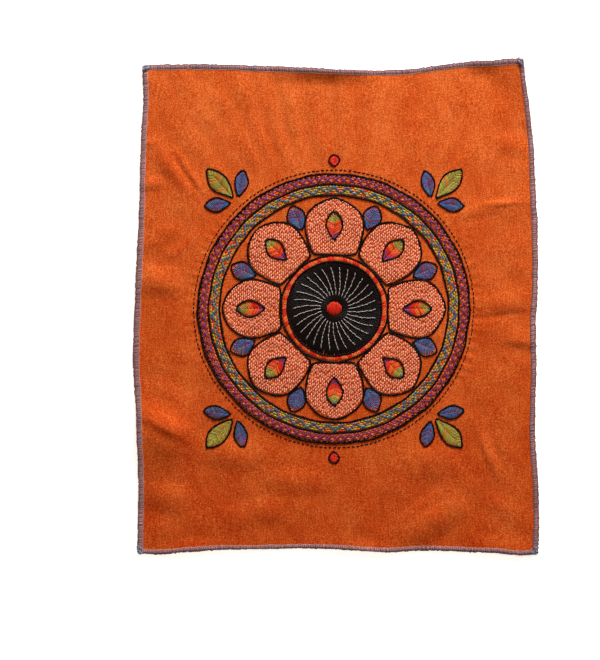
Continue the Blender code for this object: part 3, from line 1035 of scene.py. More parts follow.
def satin_ring(seed):
    """Short stitches across the ring, in blocks of colour that repeat round it, with a few strays."""
    random = np.random.default_rng(seed)
    count = int(ring_length(CHECK_RING) / CHECK_PITCH)
    along = np.arange(count) * ring_length(CHECK_RING) / count
    pattern = np.concatenate([np.full(size, number) for number, (size, _) in enumerate(CHECK_BLOCKS)])
    colour = np.resize(pattern, count)
    colour = np.where(random.random(count) < STRAY_SHARE, random.permutation(colour), colour)
    for number, (_, finish) in enumerate(CHECK_BLOCKS):
        place = along[colour == number]
        start = ribbon(place, CHECK_MARGIN, CHECK_RING)
        end = ribbon(place + CHECK_SLANT, 1 - CHECK_MARGIN, CHECK_RING)
        yield sew(start, end, CHECK_FLOSS, finish, seed + number)


sewn_piece("check_ring_stitches", list(satin_ring(seed=100)), ring_nodes("check_ring"))
print("check ring:", stitch_total[-1], "stitches")

# %% The middle band: mixed short stitches under a zigzag
ZIGZAG_BAND = (77.8, 83.6)
ZIGZAG_LANES, LANE_PITCH, LANE_STITCH = (0.13, 0.38, 0.62, 0.87), 2.35, 2.3
LANE_JITTER, LANE_SHORTEST, LANE_LONGEST = 0.09, 0.9, 1.1
TOOTH_PITCH, TOOTH_STITCHES, TOOTH_LOW, TOOTH_HIGH = 9.4, 3, 0.10, 0.90
GROUND_SHARES = ((olive, 0.50), (lime, 0.22), (orange, 0.18), (red, 0.06), (teal, 0.04))
TEAL_LINE, BLUE_LINE = ((teal, 0.7), (blue, 0.3)), ((blue, 0.8), (teal, 0.2))
ZIGZAG_LINES = ((0.0, TEAL_LINE), (0.7, BLUE_LINE))
OLIVE_FLOSS = Floss(1.25, 0.50, spread=0.45, wander=0.10)
ZIGZAG_FLOSS = Floss(0.72, 0.40, spread=0.25, wander=0.16, lift=0.42)


def lane(band, across, pitch, length, shift, seed):
    """Starts and ends of a row of running stitches along a band."""
    random = np.random.default_rng(seed)
    count = int(ring_length(band) / pitch)
    along = (np.arange(count) + shift + random.normal(0, LANE_JITTER, count)) * ring_length(band) / count
    length = length * random.uniform(LANE_SHORTEST, LANE_LONGEST, count)
    return ribbon(along, across, band), ribbon(along + length, across, band)


def zigzag_line(offset):
    """A triangle wave round the band, shifted along by an offset, each of its slopes in a few stitches."""
    teeth = round(ring_length(ZIGZAG_BAND) / TOOTH_PITCH)
    step = np.arange(2 * teeth * TOOTH_STITCHES + 1) / TOOTH_STITCHES
    up = np.abs((step + 1) % 2 - 1)
    along = offset + step * ring_length(ZIGZAG_BAND) / teeth / 2
    corners = ribbon(along, TOOTH_LOW + (TOOTH_HIGH - TOOTH_LOW) * up, ZIGZAG_BAND)
    return corners[:-1], corners[1:]


zigzag = []
for number, across in enumerate(ZIGZAG_LANES):
    start, end = lane(ZIGZAG_BAND, across, LANE_PITCH, LANE_STITCH, 0.5 * (number % 2), seed=110 + number)
    zigzag += sew_mixed(start, end, OLIVE_FLOSS, GROUND_SHARES, seed=1100 + 10 * number)
for number, (offset, shares) in enumerate(ZIGZAG_LINES):
    zigzag += sew_mixed(*zigzag_line(offset), ZIGZAG_FLOSS, shares, seed=1200 + 10 * number)
sewn_piece("zigzag_band_stitches", zigzag, ring_nodes("zigzag_band"))
print("zigzag band:", stitch_total[-1], "stitches")

# %% The outer band: running stitch under a lattice
LATTICE_BAND = (85.1, 90.7)
LATTICE_LANES, RUNNING_PITCH, RUNNING_STITCH = (0.10, 0.36, 0.62, 0.88), 2.7, 2.4
DIAMOND_PITCH, DIAMOND_LOW, DIAMOND_HIGH = 5.6, 0.02, 0.98
DIAMOND_LINES = ((0.0, 1), (0.6, 1), (0.0, -1), (0.6, -1))
LIFT_STEP = 0.1
TICK_LANE, TICK_PITCH, TICK_STITCH = 0.93, 3.3, 1.9
RUNNING_FLOSS = Floss(1.10, 0.42, spread=0.40, wander=0.08, tone=0.55)
LATTICE_FLOSS = Floss(0.70, 0.38, spread=0.25, wander=0.14, lift=0.42)
TICK_FLOSS = Floss(0.85, 0.40, spread=0.45, wander=0.16, lift=0.5)

lattice = []
for number, across in enumerate(LATTICE_LANES):
    count = int(ring_length(LATTICE_BAND) / RUNNING_PITCH)
    along = (np.arange(count) + 0.5 * (number % 2)) * ring_length(LATTICE_BAND) / count
    start, end = (ribbon(place, across, LATTICE_BAND) for place in (along, along + RUNNING_STITCH))
    lattice.append(sew(start, end, RUNNING_FLOSS, orange, seed=130 + number))
for number, (offset, step) in enumerate(DIAMOND_LINES):
    count = round(ring_length(LATTICE_BAND) / DIAMOND_PITCH)
    along = np.arange(count) * ring_length(LATTICE_BAND) / count + offset
    start = ribbon(along, DIAMOND_LOW, LATTICE_BAND)
    end = ribbon(along + step * DIAMOND_PITCH, DIAMOND_HIGH, LATTICE_BAND)
    over = LATTICE_FLOSS._replace(lift=LATTICE_FLOSS.lift + LIFT_STEP * number)
    lattice.append(sew(start, end, over, purple, seed=140 + number))
start, end = lane(LATTICE_BAND, TICK_LANE, TICK_PITCH, TICK_STITCH, 0.0, seed=150)
lattice.append(sew(start, end, TICK_FLOSS, black, seed=151))
sewn_piece("lattice_band_stitches", lattice, ring_nodes("lattice_band"))
print("lattice band:", stitch_total[-1], "stitches")

# %% [markdown]
# ## Leaves and buds
#
# Leaves are fishbone stitch: short slanting stitches from a middle line to the edge, on both sides. A few of
# the threads in each leaf are of a neighbouring colour, purple among the blue and lime among the olive. A
# sprig is three leaves that part from one point, and each corner has one, mirrored.

# %% Blue leaf tips
BLUE_LEAF = ((blue, 0.74), (purple, 0.14), (teal, 0.12))
LEAF_PITCH, LEAF_RISE = 1.0, 2.6
LEAF_FLOSS = Floss(0.95, 0.50, spread=0.45, wander=0.10)


def leaf_batches(leaf, place, shares, seed, pitch=LEAF_PITCH, rise=LEAF_RISE):
    """One leaf's fishbone rows, carried to where the leaf grows by the function place."""
    start, end = leaf_rows(leaf, pitch, rise)
    return sew_mixed(place(start), place(end), LEAF_FLOSS, shares, seed)


def tip_place(number):
    """Carries a leaf along +s to its place between two petals."""
    return lambda points: turned(points, (number + 0.5) * 360 / PETAL_COUNT)


tip_leaves = []
for number in range(PETAL_COUNT):
    tip_leaves += leaf_batches(TIP_LEAF, tip_place(number), BLUE_LEAF, seed=1600 + 10 * number)
sewn_piece("tip_leaf_stitches", tip_leaves, [f"tip_leaf_{i + 1}" for i in range(PETAL_COUNT)])
print("leaf tips:", stitch_total[-1], "stitches")

# %% Four sprigs
OLIVE_LEAF = ((olive, 0.62), (lime, 0.30), (orange, 0.08))
SPRIG_ROOT, SPRIG_TURN = (66.0, 72.0), 47.0
SPRIG_LEAVES = (Leaf(-55, 4, 18, 4.2), Leaf(0, 4, 26, 5.6), Leaf(55, 4, 18, 4.2))


def sprig_place(leaf, sides):
    """Carries a leaf along +s to its place in a corner's sprig."""
    return lambda points: turned(points, SPRIG_TURN + leaf.turn, SPRIG_ROOT) * sides


for number, sides in enumerate(CORNERS):
    batches = []
    for leaf_number, leaf in enumerate(SPRIG_LEAVES):
        shares, seed = (BLUE_LEAF if leaf.turn else OLIVE_LEAF), 1800 + 30 * number + 10 * leaf_number
        batches += leaf_batches(leaf, sprig_place(leaf, sides), shares, seed)
    nodes = [f"sprig_{number + 1}_leaf_{i + 1}" for i in range(len(SPRIG_LEAVES))]
    sewn_piece(f"sprig_{number + 1}_stitches", batches, nodes)
print("sprigs:", stitch_total[-4:], "stitches")

# %% Two red buds
BUD = Leaf(0, 96.8, 8.0, 3.4)
BUD_TURNS = {"bud_top": 90, "bud_bottom": -90}
BUD_PITCH, BUD_RISE = 0.8, 1.2


def bud_place(name):
    """Carries a bud along +s to its place over or under the medallion."""
    return lambda points: turned(points, BUD_TURNS[name])


for number, name in enumerate(BUD_TURNS):
    bud = leaf_batches(BUD, bud_place(name), ((red, 1.0),), 230 + 2 * number, BUD_PITCH, BUD_RISE)
    sewn_piece(f"{name}_stitches", list(bud), [name])
print("buds:", stitch_total[-2:], "stitches")

# %% [markdown]
# ## Black outlines
#
# Every shape is drawn round in black stem stitch: each stitch starts a third of the way back along the last
# one and a little to its side, which makes a thin rope. The outline is the shape's own edge moved outward by
# up to half a thread. The hand wanders slightly, so a slow wave is added sideways.

# %% Outlines as closed paths
def shape_outline(half_width, start, length, steps):
    """A closed outline along +s, from a half-width rule: out along one side and back along the other."""
    share = (1 - np.cos(np.linspace(0, np.pi, steps))) / 2
    along = start + share * length
    reach = half_width(along)
    return np.concatenate((np.column_stack((along, -reach)), np.column_stack((along, reach))[-2:0:-1]))


def leaf_outline(leaf, steps):
    """A leaf's closed outline."""
    return shape_outline(lambda along: leaf_half_width(leaf, along), leaf.start, leaf.length, steps)


def moved_outward(points, distance):
    """A closed outline, drawn anticlockwise, moved along its outward normals."""
    run = np.roll(points, -1, axis=0) - np.roll(points, 1, axis=0)
    run /= np.maximum(np.hypot(*run.T), 1e-9)[:, None]
    return points + distance * np.column_stack((run[:, 1], -run[:, 0]))


def walk_round(points, step):
    """Places at an even step round a closed path, and the path as a function of distance."""
    closed = np.vstack((points, points[:1]))
    gone = np.concatenate(([0], np.cumsum(np.hypot(*np.diff(closed, axis=0).T))))
    total = gone[-1]
    count = max(3, round(total / step))
    at = np.arange(count) * total / count

    def place(distance):
        distance = np.mod(distance, total)
        return np.column_stack([np.interp(distance, gone, closed[:, axis]) for axis in (0, 1)])

    return at, place


petal_edge = shape_outline(petal_half_width, PETAL_BASE, PETAL_TIP - PETAL_BASE, steps=60)
print("round a petal in steps of 2 mm:", len(walk_round(petal_edge, 2.0)[0]))

# %% Stem stitch
STEM_STEP, STEM_LENGTH = 2.0, 3.1
STEM_SWAY, STEM_SIDE = 0.20, 0.16
STEM_WAVES = ((2.5, 4), (6, 9))
STEM_THINNEST, STEM_THICKEST = 0.82, 1.18
LAST_PHASE = 6
STEM_FLOSS = Floss(1.45, 0.62, spread=0.50, wander=0.10, lift=0.12)


def stem_line(points, seed, floss=STEM_FLOSS):
    """Stem stitch round a closed outline: each stitch starts to one side of the path and ends to the other.

    Two slow sines of random length sway the path, and the thread's width varies by stitch.
    """
    random = np.random.default_rng(seed)
    at, place = walk_round(points, STEM_STEP)
    wave = np.zeros_like(at)
    for shortest, longest in STEM_WAVES:
        wave += STEM_SWAY * np.sin(at / random.uniform(shortest, longest) + random.uniform(0, LAST_PHASE))
    start, end = place(at), place(at + STEM_LENGTH)
    run = end - start
    side = np.column_stack((-run[:, 1], run[:, 0])) / np.hypot(*run.T)[:, None]
    start = start + side * (wave - STEM_SIDE)[:, None]
    end = end + side * (wave + STEM_SIDE)[:, None]
    width = floss.width * random.uniform(STEM_THINNEST, STEM_THICKEST, len(at))
    return sew(start, end, floss._replace(width=width), black, seed)


print("a stem stitch overlaps the last one by", round(STEM_LENGTH - STEM_STEP, 1), "mm")

# %% Round the petals and the rings
PETAL_OFF, FLAME_OFF = 0.62, 0.25
FLAME_LINE = STEM_FLOSS._replace(width=1.2, lift=0.35)
RING_RADII, RING_CORNERS = (36.05, 77.05, 84.35, 91.45, 31.95), 240
RING_LINE = STEM_FLOSS._replace(lift=0.15)

flame_edge = leaf_outline(FLAME, steps=60)
petal_lines = []
for number in range(PETAL_COUNT):
    degrees = number * 360 / PETAL_COUNT
    petal_path = moved_outward(turned(petal_edge, degrees), PETAL_OFF)
    flame_path = moved_outward(turned(flame_edge, degrees), FLAME_OFF)
    petal_lines.append(stem_line(petal_path, seed=300 + number))
    petal_lines.append(stem_line(flame_path, seed=320 + number, floss=FLAME_LINE))
sewn_piece("petal_outlines", petal_lines)

ring_angle = np.linspace(0, 2 * np.pi, RING_CORNERS, endpoint=False)
ring_lines = [
    stem_line(around(radius, ring_angle), seed=340 + number, floss=RING_LINE)
    for number, radius in enumerate(RING_RADII)
]
sewn_piece("ring_outlines", ring_lines)
print("petal and ring outlines:", stitch_total[-2:], "stitches")

# %% Round the leaves and buds
LEAF_OFF = 0.5
LEAF_LINE = STEM_FLOSS._replace(width=1.25)


def leaf_line(leaf, place, seed):
    """Stem stitch round a leaf that is carried to its place by a function."""
    return stem_line(place(moved_outward(leaf_outline(leaf, steps=40), LEAF_OFF)), seed, LEAF_LINE)


leaf_lines = [leaf_line(TIP_LEAF, tip_place(number), 360 + number) for number in range(PETAL_COUNT)]
for number, sides in enumerate(CORNERS):
    for leaf_number, leaf in enumerate(SPRIG_LEAVES):
        leaf_lines.append(leaf_line(leaf, sprig_place(leaf, sides), 380 + 4 * number + leaf_number))
leaf_lines += [leaf_line(BUD, bud_place(name), 400 + number) for number, name in enumerate(BUD_TURNS)]
sewn_piece("leaf_outlines", leaf_lines)
print("leaf outlines:", stitch_total[-1], "stitches")

# %% [markdown]
# Outside the last ring runs one more row, in plain running stitch with gaps, as a dashed line.

# %% The dashed ring
DASH_RADIUS, DASH_PITCH, DASH_LENGTH = 94.2, 3.1, 2.2
DASH_FLOSS = Floss(0.85, 0.50, spread=0.40, wander=0.14)

dash_count = round(2 * math.pi * DASH_RADIUS / DASH_PITCH)
dash_angle = np.arange(dash_count) * 2 * np.pi / dash_count
dash_start, dash_end = (around(DASH_RADIUS, dash_angle + gone / DASH_RADIUS) for gone in (0, DASH_LENGTH))
sewn_piece("dashed_ring", [sew(dash_start, dash_end, DASH_FLOSS, black, seed=410)])
print("dashes:", stitch_total[-1], "stitches")

# %% [markdown]
# ## The back
#
# Turned over, the panel shows how it was sewn. On the back the thread runs from where one stitch goes down to
# where the next comes up, so the back follows from the face by one rule. Satin crosses straight back, stem
# stitch leaves short bars and the close rows of the petals hardly more than specks, which are drawn at least
# a millimetre long. Where the next stitch is far away, the thread was cut, so nothing crosses.

# %% The thread's way on the back
SHORTEST_TRAVEL, LONGEST_TRAVEL = 1.0, 7.0
BACK_FLOSS = Floss(0.80, 0.26, spread=0.40)


def travelled(start, end):
    """From each stitch's end to the next one's start, where that is near enough.

    A way that is too short is drawn out to the shortest length, round its middle, as the stitch runs.
    """
    leave, arrive = end[:-1], start[1:]
    length = np.hypot(*(arrive - leave).T)
    own = (end - start)[:-1]
    own = own / np.hypot(*own.T)[:, None] * SHORTEST_TRAVEL / 2
    middle, short = (leave + arrive) / 2, (length < SHORTEST_TRAVEL)[:, None]
    leave, arrive = np.where(short, middle - own, leave), np.where(short, middle + own, arrive)
    near = length < LONGEST_TRAVEL
    return leave[near], arrive[near]


back_batches = [
    stitches(*travelled(start, end), BACK_FLOSS, finish, seed=700 + number, where=on_back, below=True)
    for number, (start, end, finish) in enumerate(sewn_so_far)
    if len(start) > 1
]
sewn_piece("back_stitches", back_batches)
print("back:", stitch_total[-1], "stitches")

# %% [markdown]
# ## The overlocked edge
#
# An overlock machine wraps the raw edge in thread: one thread runs straight along the inner side, and two
# loop from it out round the edge and back, above and below. Here each side has a soft padded core, which
# hides the cloth's raw edge, and over it the looping threads as stitches, in the edging's own two numbers:
# along the edge, walking anticlockwise round the panel, and inward from it.
#
# No two sides came out alike, so each has its own row. Its width is how far it reaches in over the cloth. Its
# setback keeps the upright sides' cores clear of the level ones. The last four say how many loops are bluish,
# how light the other loops are at most, and which thread, in which tone, runs along the inner side. The top
# side's loops are darker as painted shade, against the lamp that lights that side most, and the right side's
# dark plum seam is partly its thread and partly painted shade beside the edging.

# %% The four sides
EDGING_WIDTH = 3.5
LOOP_PITCH = 1.35
Side = namedtuple("Side", "name length place width setback blue_share loop_tone seam seam_tone")
SIDES = (
    Side(
        "bottom", CUT_WIDTH, lambda a, i: (a - CUT_WIDTH / 2, i - CUT_HEIGHT / 2),
        width=3.0, setback=0.3, blue_share=0.10, loop_tone=0.8, seam=mauve, seam_tone=0.4,
    ),
    # The right side's dark seam is partly painted shade beside the edging.
    Side(
        "right", CUT_HEIGHT, lambda a, i: (CUT_WIDTH / 2 - i, a - CUT_HEIGHT / 2),
        width=3.9, setback=3.6, blue_share=0.05, loop_tone=0.9, seam=plum, seam_tone=0.1,
    ),
    # The top side's low loop tone is painted shade against the lamp that lights this side most.
    Side(
        "top", CUT_WIDTH, lambda a, i: (CUT_WIDTH / 2 - a, CUT_HEIGHT / 2 - i),
        width=3.7, setback=0.3, blue_share=0.20, loop_tone=0.3, seam=mauve, seam_tone=0.5,
    ),
    Side(
        "left", CUT_HEIGHT, lambda a, i: (i - CUT_WIDTH / 2, CUT_HEIGHT / 2 - a),
        width=3.9, setback=3.6, blue_share=0.05, loop_tone=0.9, seam=mauve, seam_tone=0.5,
    ),
)
print("edging widths in mm:", {side.name: side.width for side in SIDES})

# %% The padded core
CORE_TOP = np.array(((0.2, 0.70), (0.5, 1.08), (1.1, 1.28), (2.6, 1.20), (3.4, 0.90)))
CORE_BELOW = np.array(((3.4, 0.35), (2.8, 0.12), (1.1, 0.12), (0.5, 0.30)))
CORE_PROFILE = np.concatenate((CORE_BELOW[::-1], CORE_TOP[::-1]))
CORE_MIDDLE, CORE_SWELL, CORE_TONE = 0.75, 0.05, 0.2
UNDER_LEVEL = 0.42


def on_side(side, below=False):
    """A function from (along, inward, level) to a place on the core's upper or lower surface."""
    def where(along, inward, level):
        s, t = side.place(along, inward)
        top = np.interp(inward * EDGING_WIDTH / side.width, *CORE_TOP.T)
        surface = UNDER_LEVEL - level if below else top + level
        return on_cloth(s, t, surface - FACE_LEVEL)
    return where


def core(side):
    """The core's profile carried along one side, its levels swelled by a sine with one wave to a loop."""
    along = np.linspace(side.setback, side.length - side.setback, int(side.length / LOOP_PITCH) * 2)
    plump = 1 + CORE_SWELL * np.sin(2 * np.pi * along / LOOP_PITCH)[:, None]
    inward = np.broadcast_to(CORE_PROFILE[:, 0] * side.width / EDGING_WIDTH, (len(along), len(CORE_PROFILE)))
    level = (CORE_PROFILE[:, 1] - CORE_MIDDLE) * plump + CORE_MIDDLE
    s, t = side.place(np.broadcast_to(along[:, None], inward.shape), inward)
    places = on_cloth(s, t, level - FACE_LEVEL)
    count, ring = places.shape[:2]
    number = np.arange(count * ring).reshape(count, ring)
    next_corner = np.roll(number, -1, axis=1)
    wall = np.stack((number[:-1], next_corner[:-1], next_corner[1:], number[1:]), axis=-1).reshape(-1, 4)
    caps = np.stack((number[0, ::-1], number[-1]))
    around_it = np.broadcast_to(np.arange(ring) / ring, (count, ring))
    along_it = np.broadcast_to(along[:, None], (count, ring))
    return {
        "places": places.reshape(-1, 3), "faces": [wall, caps],
        "thread_map": np.stack((along_it, around_it), axis=-1).reshape(-1, 2),
        "tone": np.full(count * ring, CORE_TONE), "finish": plum, "count": 0,
    }


print("a core has", len(CORE_PROFILE), "corners around it")

# %% [markdown]
# The loops are never even. Their tension drifts along the edge, so the band swells and narrows, its tone
# wanders between pale rose and dark plum, and here and there a bluish thread comes to the top. A drifting
# value is the sum of three slow sines with seeded starts.
#
# One loop takes up one pitch: it runs out over the core, turns at the rim and comes back in. A bead lies
# along the rim at each turn, a stitch of the straight seam at each inner end, and a copy of the way out
# underneath. The beads take the loops' tone darkened as painted shade, where the rim curves away from the
# light.

# %% The looping threads of each side
END_GAP = 0.6
SEAM_GAP, RIM_GAP = 0.38, 0.45
LOOP_JITTER, LOOP_SKEW = 0.14, 0.30
INNER_DRIFT, OUTER_DRIFT, TONE_DRIFT = (-0.25, 0.25), (-0.30, 0.30), (0.15, 0.85)
OUT_RUN, BACK_START, BACK_RUN, BACK_OVERLAP = 0.55, 0.62, 1.30, 0.2
BEAD_BACK, BEAD_RUN, BEAD_OUT, BEAD_JITTER = 0.2, 1.3, 0.2, 0.12
SEAM_RUN, SEAM_IN, SEAM_JITTER = 1.25, 0.16, 0.08
# The second value darkens the rim beads as painted shade.
RETURN_BASE, PAINTED_RIM_SHADE = 0.35, 0.6
DRIFT_LENGTHS = (4.1, 13.0, 37.0)
OUT_FLOSS, BLUISH_FLOSS = Floss(0.72, 0.28, spread=0.35), Floss(0.66, 0.48, spread=0.40)
RETURN_FLOSS, UNDER_FLOSS = Floss(0.66, 0.26, spread=0.30), Floss(0.66, 0.22, spread=0.40)
BEAD_FLOSS, SEAM_FLOSS = Floss(0.85, 0.42, spread=0.35), Floss(0.75, 0.36, spread=0.35)


def drift(along, seed, low, high):
    """A value that drifts along the edge between low and high, as thread tension and dye do."""
    phase = np.random.default_rng(seed).uniform(0, LAST_PHASE, len(DRIFT_LENGTHS))
    waves = [np.sin(along / length + start) for length, start in zip(DRIFT_LENGTHS, phase)]
    return low + (high - low) * (sum(waves) / len(waves) + 1) / 2


def between(from_along, from_inward, to_along, to_inward):
    """Starts and ends of stitches on the edging."""
    return np.column_stack((from_along, from_inward)), np.column_stack((to_along, to_inward))


def pick(pair, chosen):
    """The chosen ones of some starts and ends."""
    return [ends[chosen] for ends in pair]


def edging_batches(side, seed):
    """Loops over the edge in three colours, beads on its rim, the straight seam inside, and loops below."""
    random = np.random.default_rng(seed)
    count = int((side.length - 2 * END_GAP) / LOOP_PITCH)
    along = END_GAP + np.arange(count) * LOOP_PITCH
    inner = side.width - SEAM_GAP + random.normal(0, LOOP_JITTER, count)
    inner = inner + drift(along, seed + 1, *INNER_DRIFT)
    outer = RIM_GAP + random.normal(0, LOOP_JITTER, count) + drift(along, seed + 2, *OUTER_DRIFT)
    # On the top side this factor is painted shade.
    tone = drift(along, seed + 3, *TONE_DRIFT) * side.loop_tone
    skew = random.normal(0, LOOP_SKEW, count)
    rim, seam = outer - BEAD_OUT, inner + SEAM_IN

    out = between(along + skew, inner, along + OUT_RUN + skew, outer)
    back = between(along + BACK_START, outer, along + BACK_RUN + skew, inner - BACK_OVERLAP)
    bead = between(along - BEAD_BACK, rim, along + BEAD_RUN, rim + random.normal(0, BEAD_JITTER, count))
    straight = between(along, seam, along + SEAM_RUN, seam + random.normal(0, SEAM_JITTER, count))
    bluish = random.random(count) < side.blue_share
    for ends, floss, finish in (
        (pick(out, ~bluish), OUT_FLOSS._replace(tone=tone[~bluish]), mauve),
        (pick(out, bluish), BLUISH_FLOSS, slate),
        (back, RETURN_FLOSS._replace(tone=RETURN_BASE + (1 - RETURN_BASE) * tone), plum),
        # Painted shade: the beads on the rim are darker than the loops.
        (bead, BEAD_FLOSS._replace(tone=tone * PAINTED_RIM_SHADE), plum),
        # On the right side the seam's low tone is partly painted shade.
        (straight, SEAM_FLOSS._replace(tone=side.seam_tone), side.seam),
    ):
        yield stitches(*ends, floss, finish, seed, where=on_side(side))
        seed += 1
    under = UNDER_FLOSS._replace(tone=tone)
    yield stitches(*out, under, mauve, seed, where=on_side(side, below=True), below=True)


for number, side in enumerate(SIDES):
    batches = [core(side), *edging_batches(side, seed=500 + 10 * number)]
    sewn_piece(f"overlock_{side.name}_threads", batches, [f"overlock_{side.name}"])
print("overlock:", stitch_total[-4:], "stitches")

# %% [markdown]
# At each corner the chain of loops is cut and its tail is darned back, which leaves a small bluish knot. It
# is a few short thick stitches in all directions.

# %% Corner knots
KNOT_TAILS, KNOT_SPREAD, KNOT_INSET = 13, 1.05, 2.0
SHORTEST_TAIL, LONGEST_TAIL = 1.6, 3.0
LOWEST_TAIL, HIGHEST_TAIL = 0.6, 1.2
TAIL_OVERHANG = 0.6
KNOT_FLOSS = Floss(0.75, 0.50, spread=0.45, tone=0.45)


def knot_batch(corner, seed):
    """Short tails from places near one corner of the cut, each in its own direction, kept to the edging."""
    random = np.random.default_rng(seed)
    half_cut = np.array((CUT_WIDTH / 2, CUT_HEIGHT / 2))
    start = np.array(corner) * (half_cut - KNOT_INSET) + random.normal(0, KNOT_SPREAD, (KNOT_TAILS, 2))
    angle = random.uniform(0, 2 * np.pi, KNOT_TAILS)
    end = start + random.uniform(SHORTEST_TAIL, LONGEST_TAIL, (KNOT_TAILS, 1)) * around(1.0, angle)
    limit = half_cut + TAIL_OVERHANG
    lift = random.uniform(LOWEST_TAIL, HIGHEST_TAIL, KNOT_TAILS)
    start, end = np.clip(start, -limit, limit), np.clip(end, -limit, limit)
    return stitches(start, end, KNOT_FLOSS._replace(lift=lift), slate, seed)


knots = [knot_batch(corner, seed=600 + number) for number, corner in enumerate(CORNERS)]
sewn_piece("corner_knots", knots)
print("knots:", stitch_total[-1], "tails")

# %% [markdown]
# Short fibres stand out all round the edge, and longer tufts at two places where the cloth frays. A fibre is
# a thin three-sided tube on a bent line: it leaves the edging at a random level, sways to one side, curls a
# little more the further it goes, and gets thinner.

# %% A fibre of lint
FIBRE_SHARES = np.array((0.0, 0.55, 1.0))
FIBRE_SWAY, FIBRE_CURL = 0.55, 0.35
FIBRE_ROOT, ROOT_REACH = 0.6, 0.4
ROOT_LEVELS, FIBRE_RISE = (0.4, 1.3), (-0.3, 0.6)
FIBRE_RADIUS, FIBRE_TAPER, LOWEST_FIBRE = 0.055, 0.5, 0.1
FIBRE_TONES = (0.2, 1)
FIBRE_CORNERS = 3


def fibres(side, along, reach, seed):
    """Thin bent tubes that stand out from the rim by reach: three rings of three corners, capped."""
    random = np.random.default_rng(seed)
    count = len(along)
    far = reach[:, None]
    sway = random.normal(0, FIBRE_SWAY, (count, 1)) * FIBRE_SHARES * far
    curl = random.normal(0, FIBRE_CURL, (count, 1)) * FIBRE_SHARES**2 * far
    inward = FIBRE_ROOT - FIBRE_SHARES * (far + ROOT_REACH)
    root = random.uniform(*ROOT_LEVELS, (count, 1))
    level = root + random.uniform(*FIBRE_RISE, (count, 1)) * FIBRE_SHARES * far
    turn = np.arange(FIBRE_CORNERS) * 2 * np.pi / FIBRE_CORNERS
    radius = FIBRE_RADIUS * (1 - FIBRE_TAPER * FIBRE_SHARES)[:, None]
    ring_along = (along[:, None] + sway + curl)[..., None] + radius * np.cos(turn)
    ring_level = np.maximum(level[..., None] + radius * np.sin(turn), LOWEST_FIBRE)
    s, t = side.place(ring_along, np.broadcast_to(inward[..., None], ring_along.shape))
    places = on_cloth(s, t, ring_level - FACE_LEVEL)
    number = np.arange(ring_along.size).reshape(ring_along.shape)
    next_corner = np.roll(number, -1, axis=2)
    wall = np.stack((number[:, :-1], next_corner[:, :-1], next_corner[:, 1:], number[:, 1:]), axis=-1)
    caps = np.concatenate((number[:, 0, ::-1], number[:, -1]))
    tone = np.repeat(random.uniform(*FIBRE_TONES, count), number[0].size)
    return {
        "places": places.reshape(-1, 3), "faces": [wall.reshape(-1, 4), caps],
        "thread_map": np.zeros((number.size, 2)), "tone": tone, "finish": lint, "count": 0,
    }


print("a fibre has", len(FIBRE_SHARES), "rings of", FIBRE_CORNERS, "corners")

# %% Lint along the edges
LINT_GAP, LINT_PER_MM = 2, 0.9
SHORTEST_LINT, MORE_LINT, LONGEST_LINT = 0.35, 0.35, 3.0
TUFT_COUNT, SHORTEST_TUFT, MORE_TUFT = 90, 0.6, 0.7
TUFTS = {"bottom": (CUT_WIDTH - 26, CUT_WIDTH - 1), "right": (CUT_HEIGHT - 70, CUT_HEIGHT - 10)}


def lint_batch(side, seed):
    """Short fibres all along a side, and where it has a tuft, longer ones between two places along it."""
    random = np.random.default_rng(seed)
    along = random.uniform(LINT_GAP, side.length - LINT_GAP, int(side.length * LINT_PER_MM))
    reach = SHORTEST_LINT + random.exponential(MORE_LINT, len(along))
    if side.name in TUFTS:
        along = np.concatenate((along, random.uniform(*TUFTS[side.name], TUFT_COUNT)))
        reach = np.concatenate((reach, SHORTEST_TUFT + random.exponential(MORE_TUFT, TUFT_COUNT)))
    return fibres(side, along, np.minimum(reach, LONGEST_LINT), seed + 1)


lint_batches = [lint_batch(side, seed=620 + 4 * number) for number, side in enumerate(SIDES)]
sewn_piece("edge_lint", lint_batches)
print("sides with a tuft:", list(TUFTS))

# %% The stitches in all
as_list(on_cloth_pieces)
print("stitches in all:", sum(stitch_total))

# %% [markdown]
# ## Floor, light and camera
#
# The panel lies on a plain white floor. A strong lamp beyond the top edge, low and a little to the right,
# rakes across it, so folds and threads cast small shadows, and a large warm light overhead fills them. The
# camera looks straight down from high up with a long lens, so that nothing is distorted.

# %% The floor
FLOOR_REACH = 4
FLOOR_COLOUR, FLOOR_GLOW, GLOW_STRENGTH = (0.93, 0.93, 0.92, 1), (1.0, 1.0, 0.99, 1), 0.75

floor_corners = [(FLOOR_REACH * x, FLOOR_REACH * y, 0) for x, y in ((-1, -1), (1, -1), (1, 1), (-1, 1))]
floor_mesh = bpy.data.meshes.new("floor")
floor_mesh.from_pydata(floor_corners, [], [(0, 1, 2, 3)])
floor = bpy.data.objects.new("floor", floor_mesh)
bpy.context.scene.collection.objects.link(floor)
floor_finish, floor_shader = new_finish("white_floor", roughness=0.9, sheen=0.0, specular=0.1)
floor_shader.inputs["Base Color"].default_value = FLOOR_COLOUR
floor_shader.inputs["Emission Color"].default_value = FLOOR_GLOW
floor_shader.inputs["Emission Strength"].default_value = GLOW_STRENGTH
floor_mesh.materials.append(floor_finish)
floor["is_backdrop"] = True
print("the floor reaches", FLOOR_REACH, "m each way")

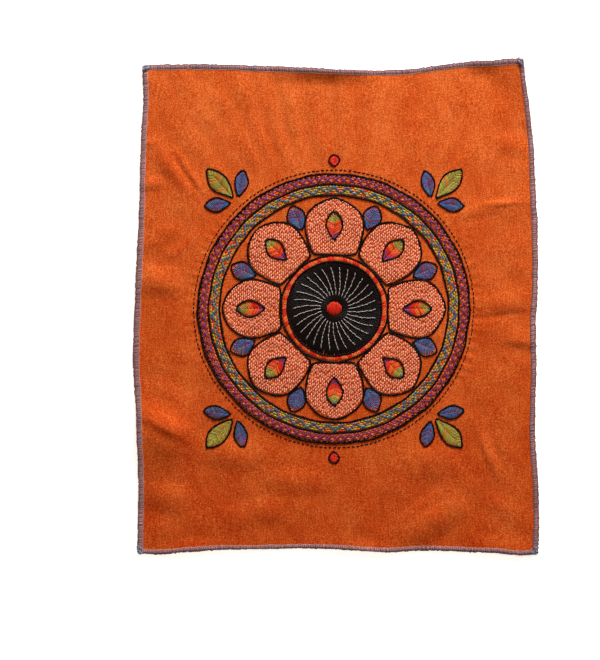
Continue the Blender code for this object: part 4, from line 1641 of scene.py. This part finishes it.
# %% Lights
Lamp = namedtuple("Lamp", "name place size power colour")
LAMPS = (
    Lamp("raking_light", (0.36, 1.35, 0.50), 0.30, 44.2, (1, 1, 1)),
    Lamp("overhead_fill", (-0.3, -0.5, 2.2), 2.0, 7.6, (1.0, 0.80, 0.60)),
)
SKY_COLOUR, SKY_STRENGTH = (1.0, 0.78, 0.56, 1), 0.20

panel_middle = Vector((*(cad_low + cad_high)[:2] / 2, 0))
for lamp in LAMPS:
    light = bpy.data.lights.new(lamp.name, "AREA")
    light.size, light.energy, light.color = lamp.size, lamp.power, lamp.colour
    fitting = bpy.data.objects.new(lamp.name, light)
    fitting.location = lamp.place
    fitting.rotation_euler = (panel_middle - Vector(lamp.place)).to_track_quat("-Z", "Y").to_euler()
    bpy.context.scene.collection.objects.link(fitting)

world = bpy.data.worlds.new("studio")
world.use_nodes = True
world.node_tree.nodes["Background"].inputs["Color"].default_value = SKY_COLOUR
world.node_tree.nodes["Background"].inputs["Strength"].default_value = SKY_STRENGTH
bpy.context.scene.world = world
bpy.context.scene.view_settings.view_transform = "Standard"
print("lights:", [lamp.name for lamp in LAMPS])

# %% The camera
FRAME_HEIGHT = 0.4465
CAMERA_PLACE = (-0.0245, -0.0154)
LENS, SENSOR = 100.0, 36.0

camera_data = bpy.data.cameras.new("camera")
camera_data.lens, camera_data.sensor_width, camera_data.sensor_fit = LENS, SENSOR, "VERTICAL"
camera_data.sensor_height = SENSOR
camera = bpy.data.objects.new("camera", camera_data)
camera.location = (*CAMERA_PLACE, FRAME_HEIGHT * LENS / SENSOR)
bpy.context.scene.collection.objects.link(camera)
bpy.context.scene.camera = camera
print("camera height:", round(camera.location.z, 3), "m")

# %% Sizes, and the end
low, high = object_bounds()
({"cad": [list(map(float, cad_low)), list(map(float, cad_high))],
           "visual": [list(map(float, low)), list(map(float, high))]})
triangles = sum(len(face.vertices) - 2 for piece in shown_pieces() for face in piece.data.polygons)
print("triangles in all:", triangles)
print("visual box in mm:", [round((h - l) / MM, 1) for l, h in zip(low, high)])
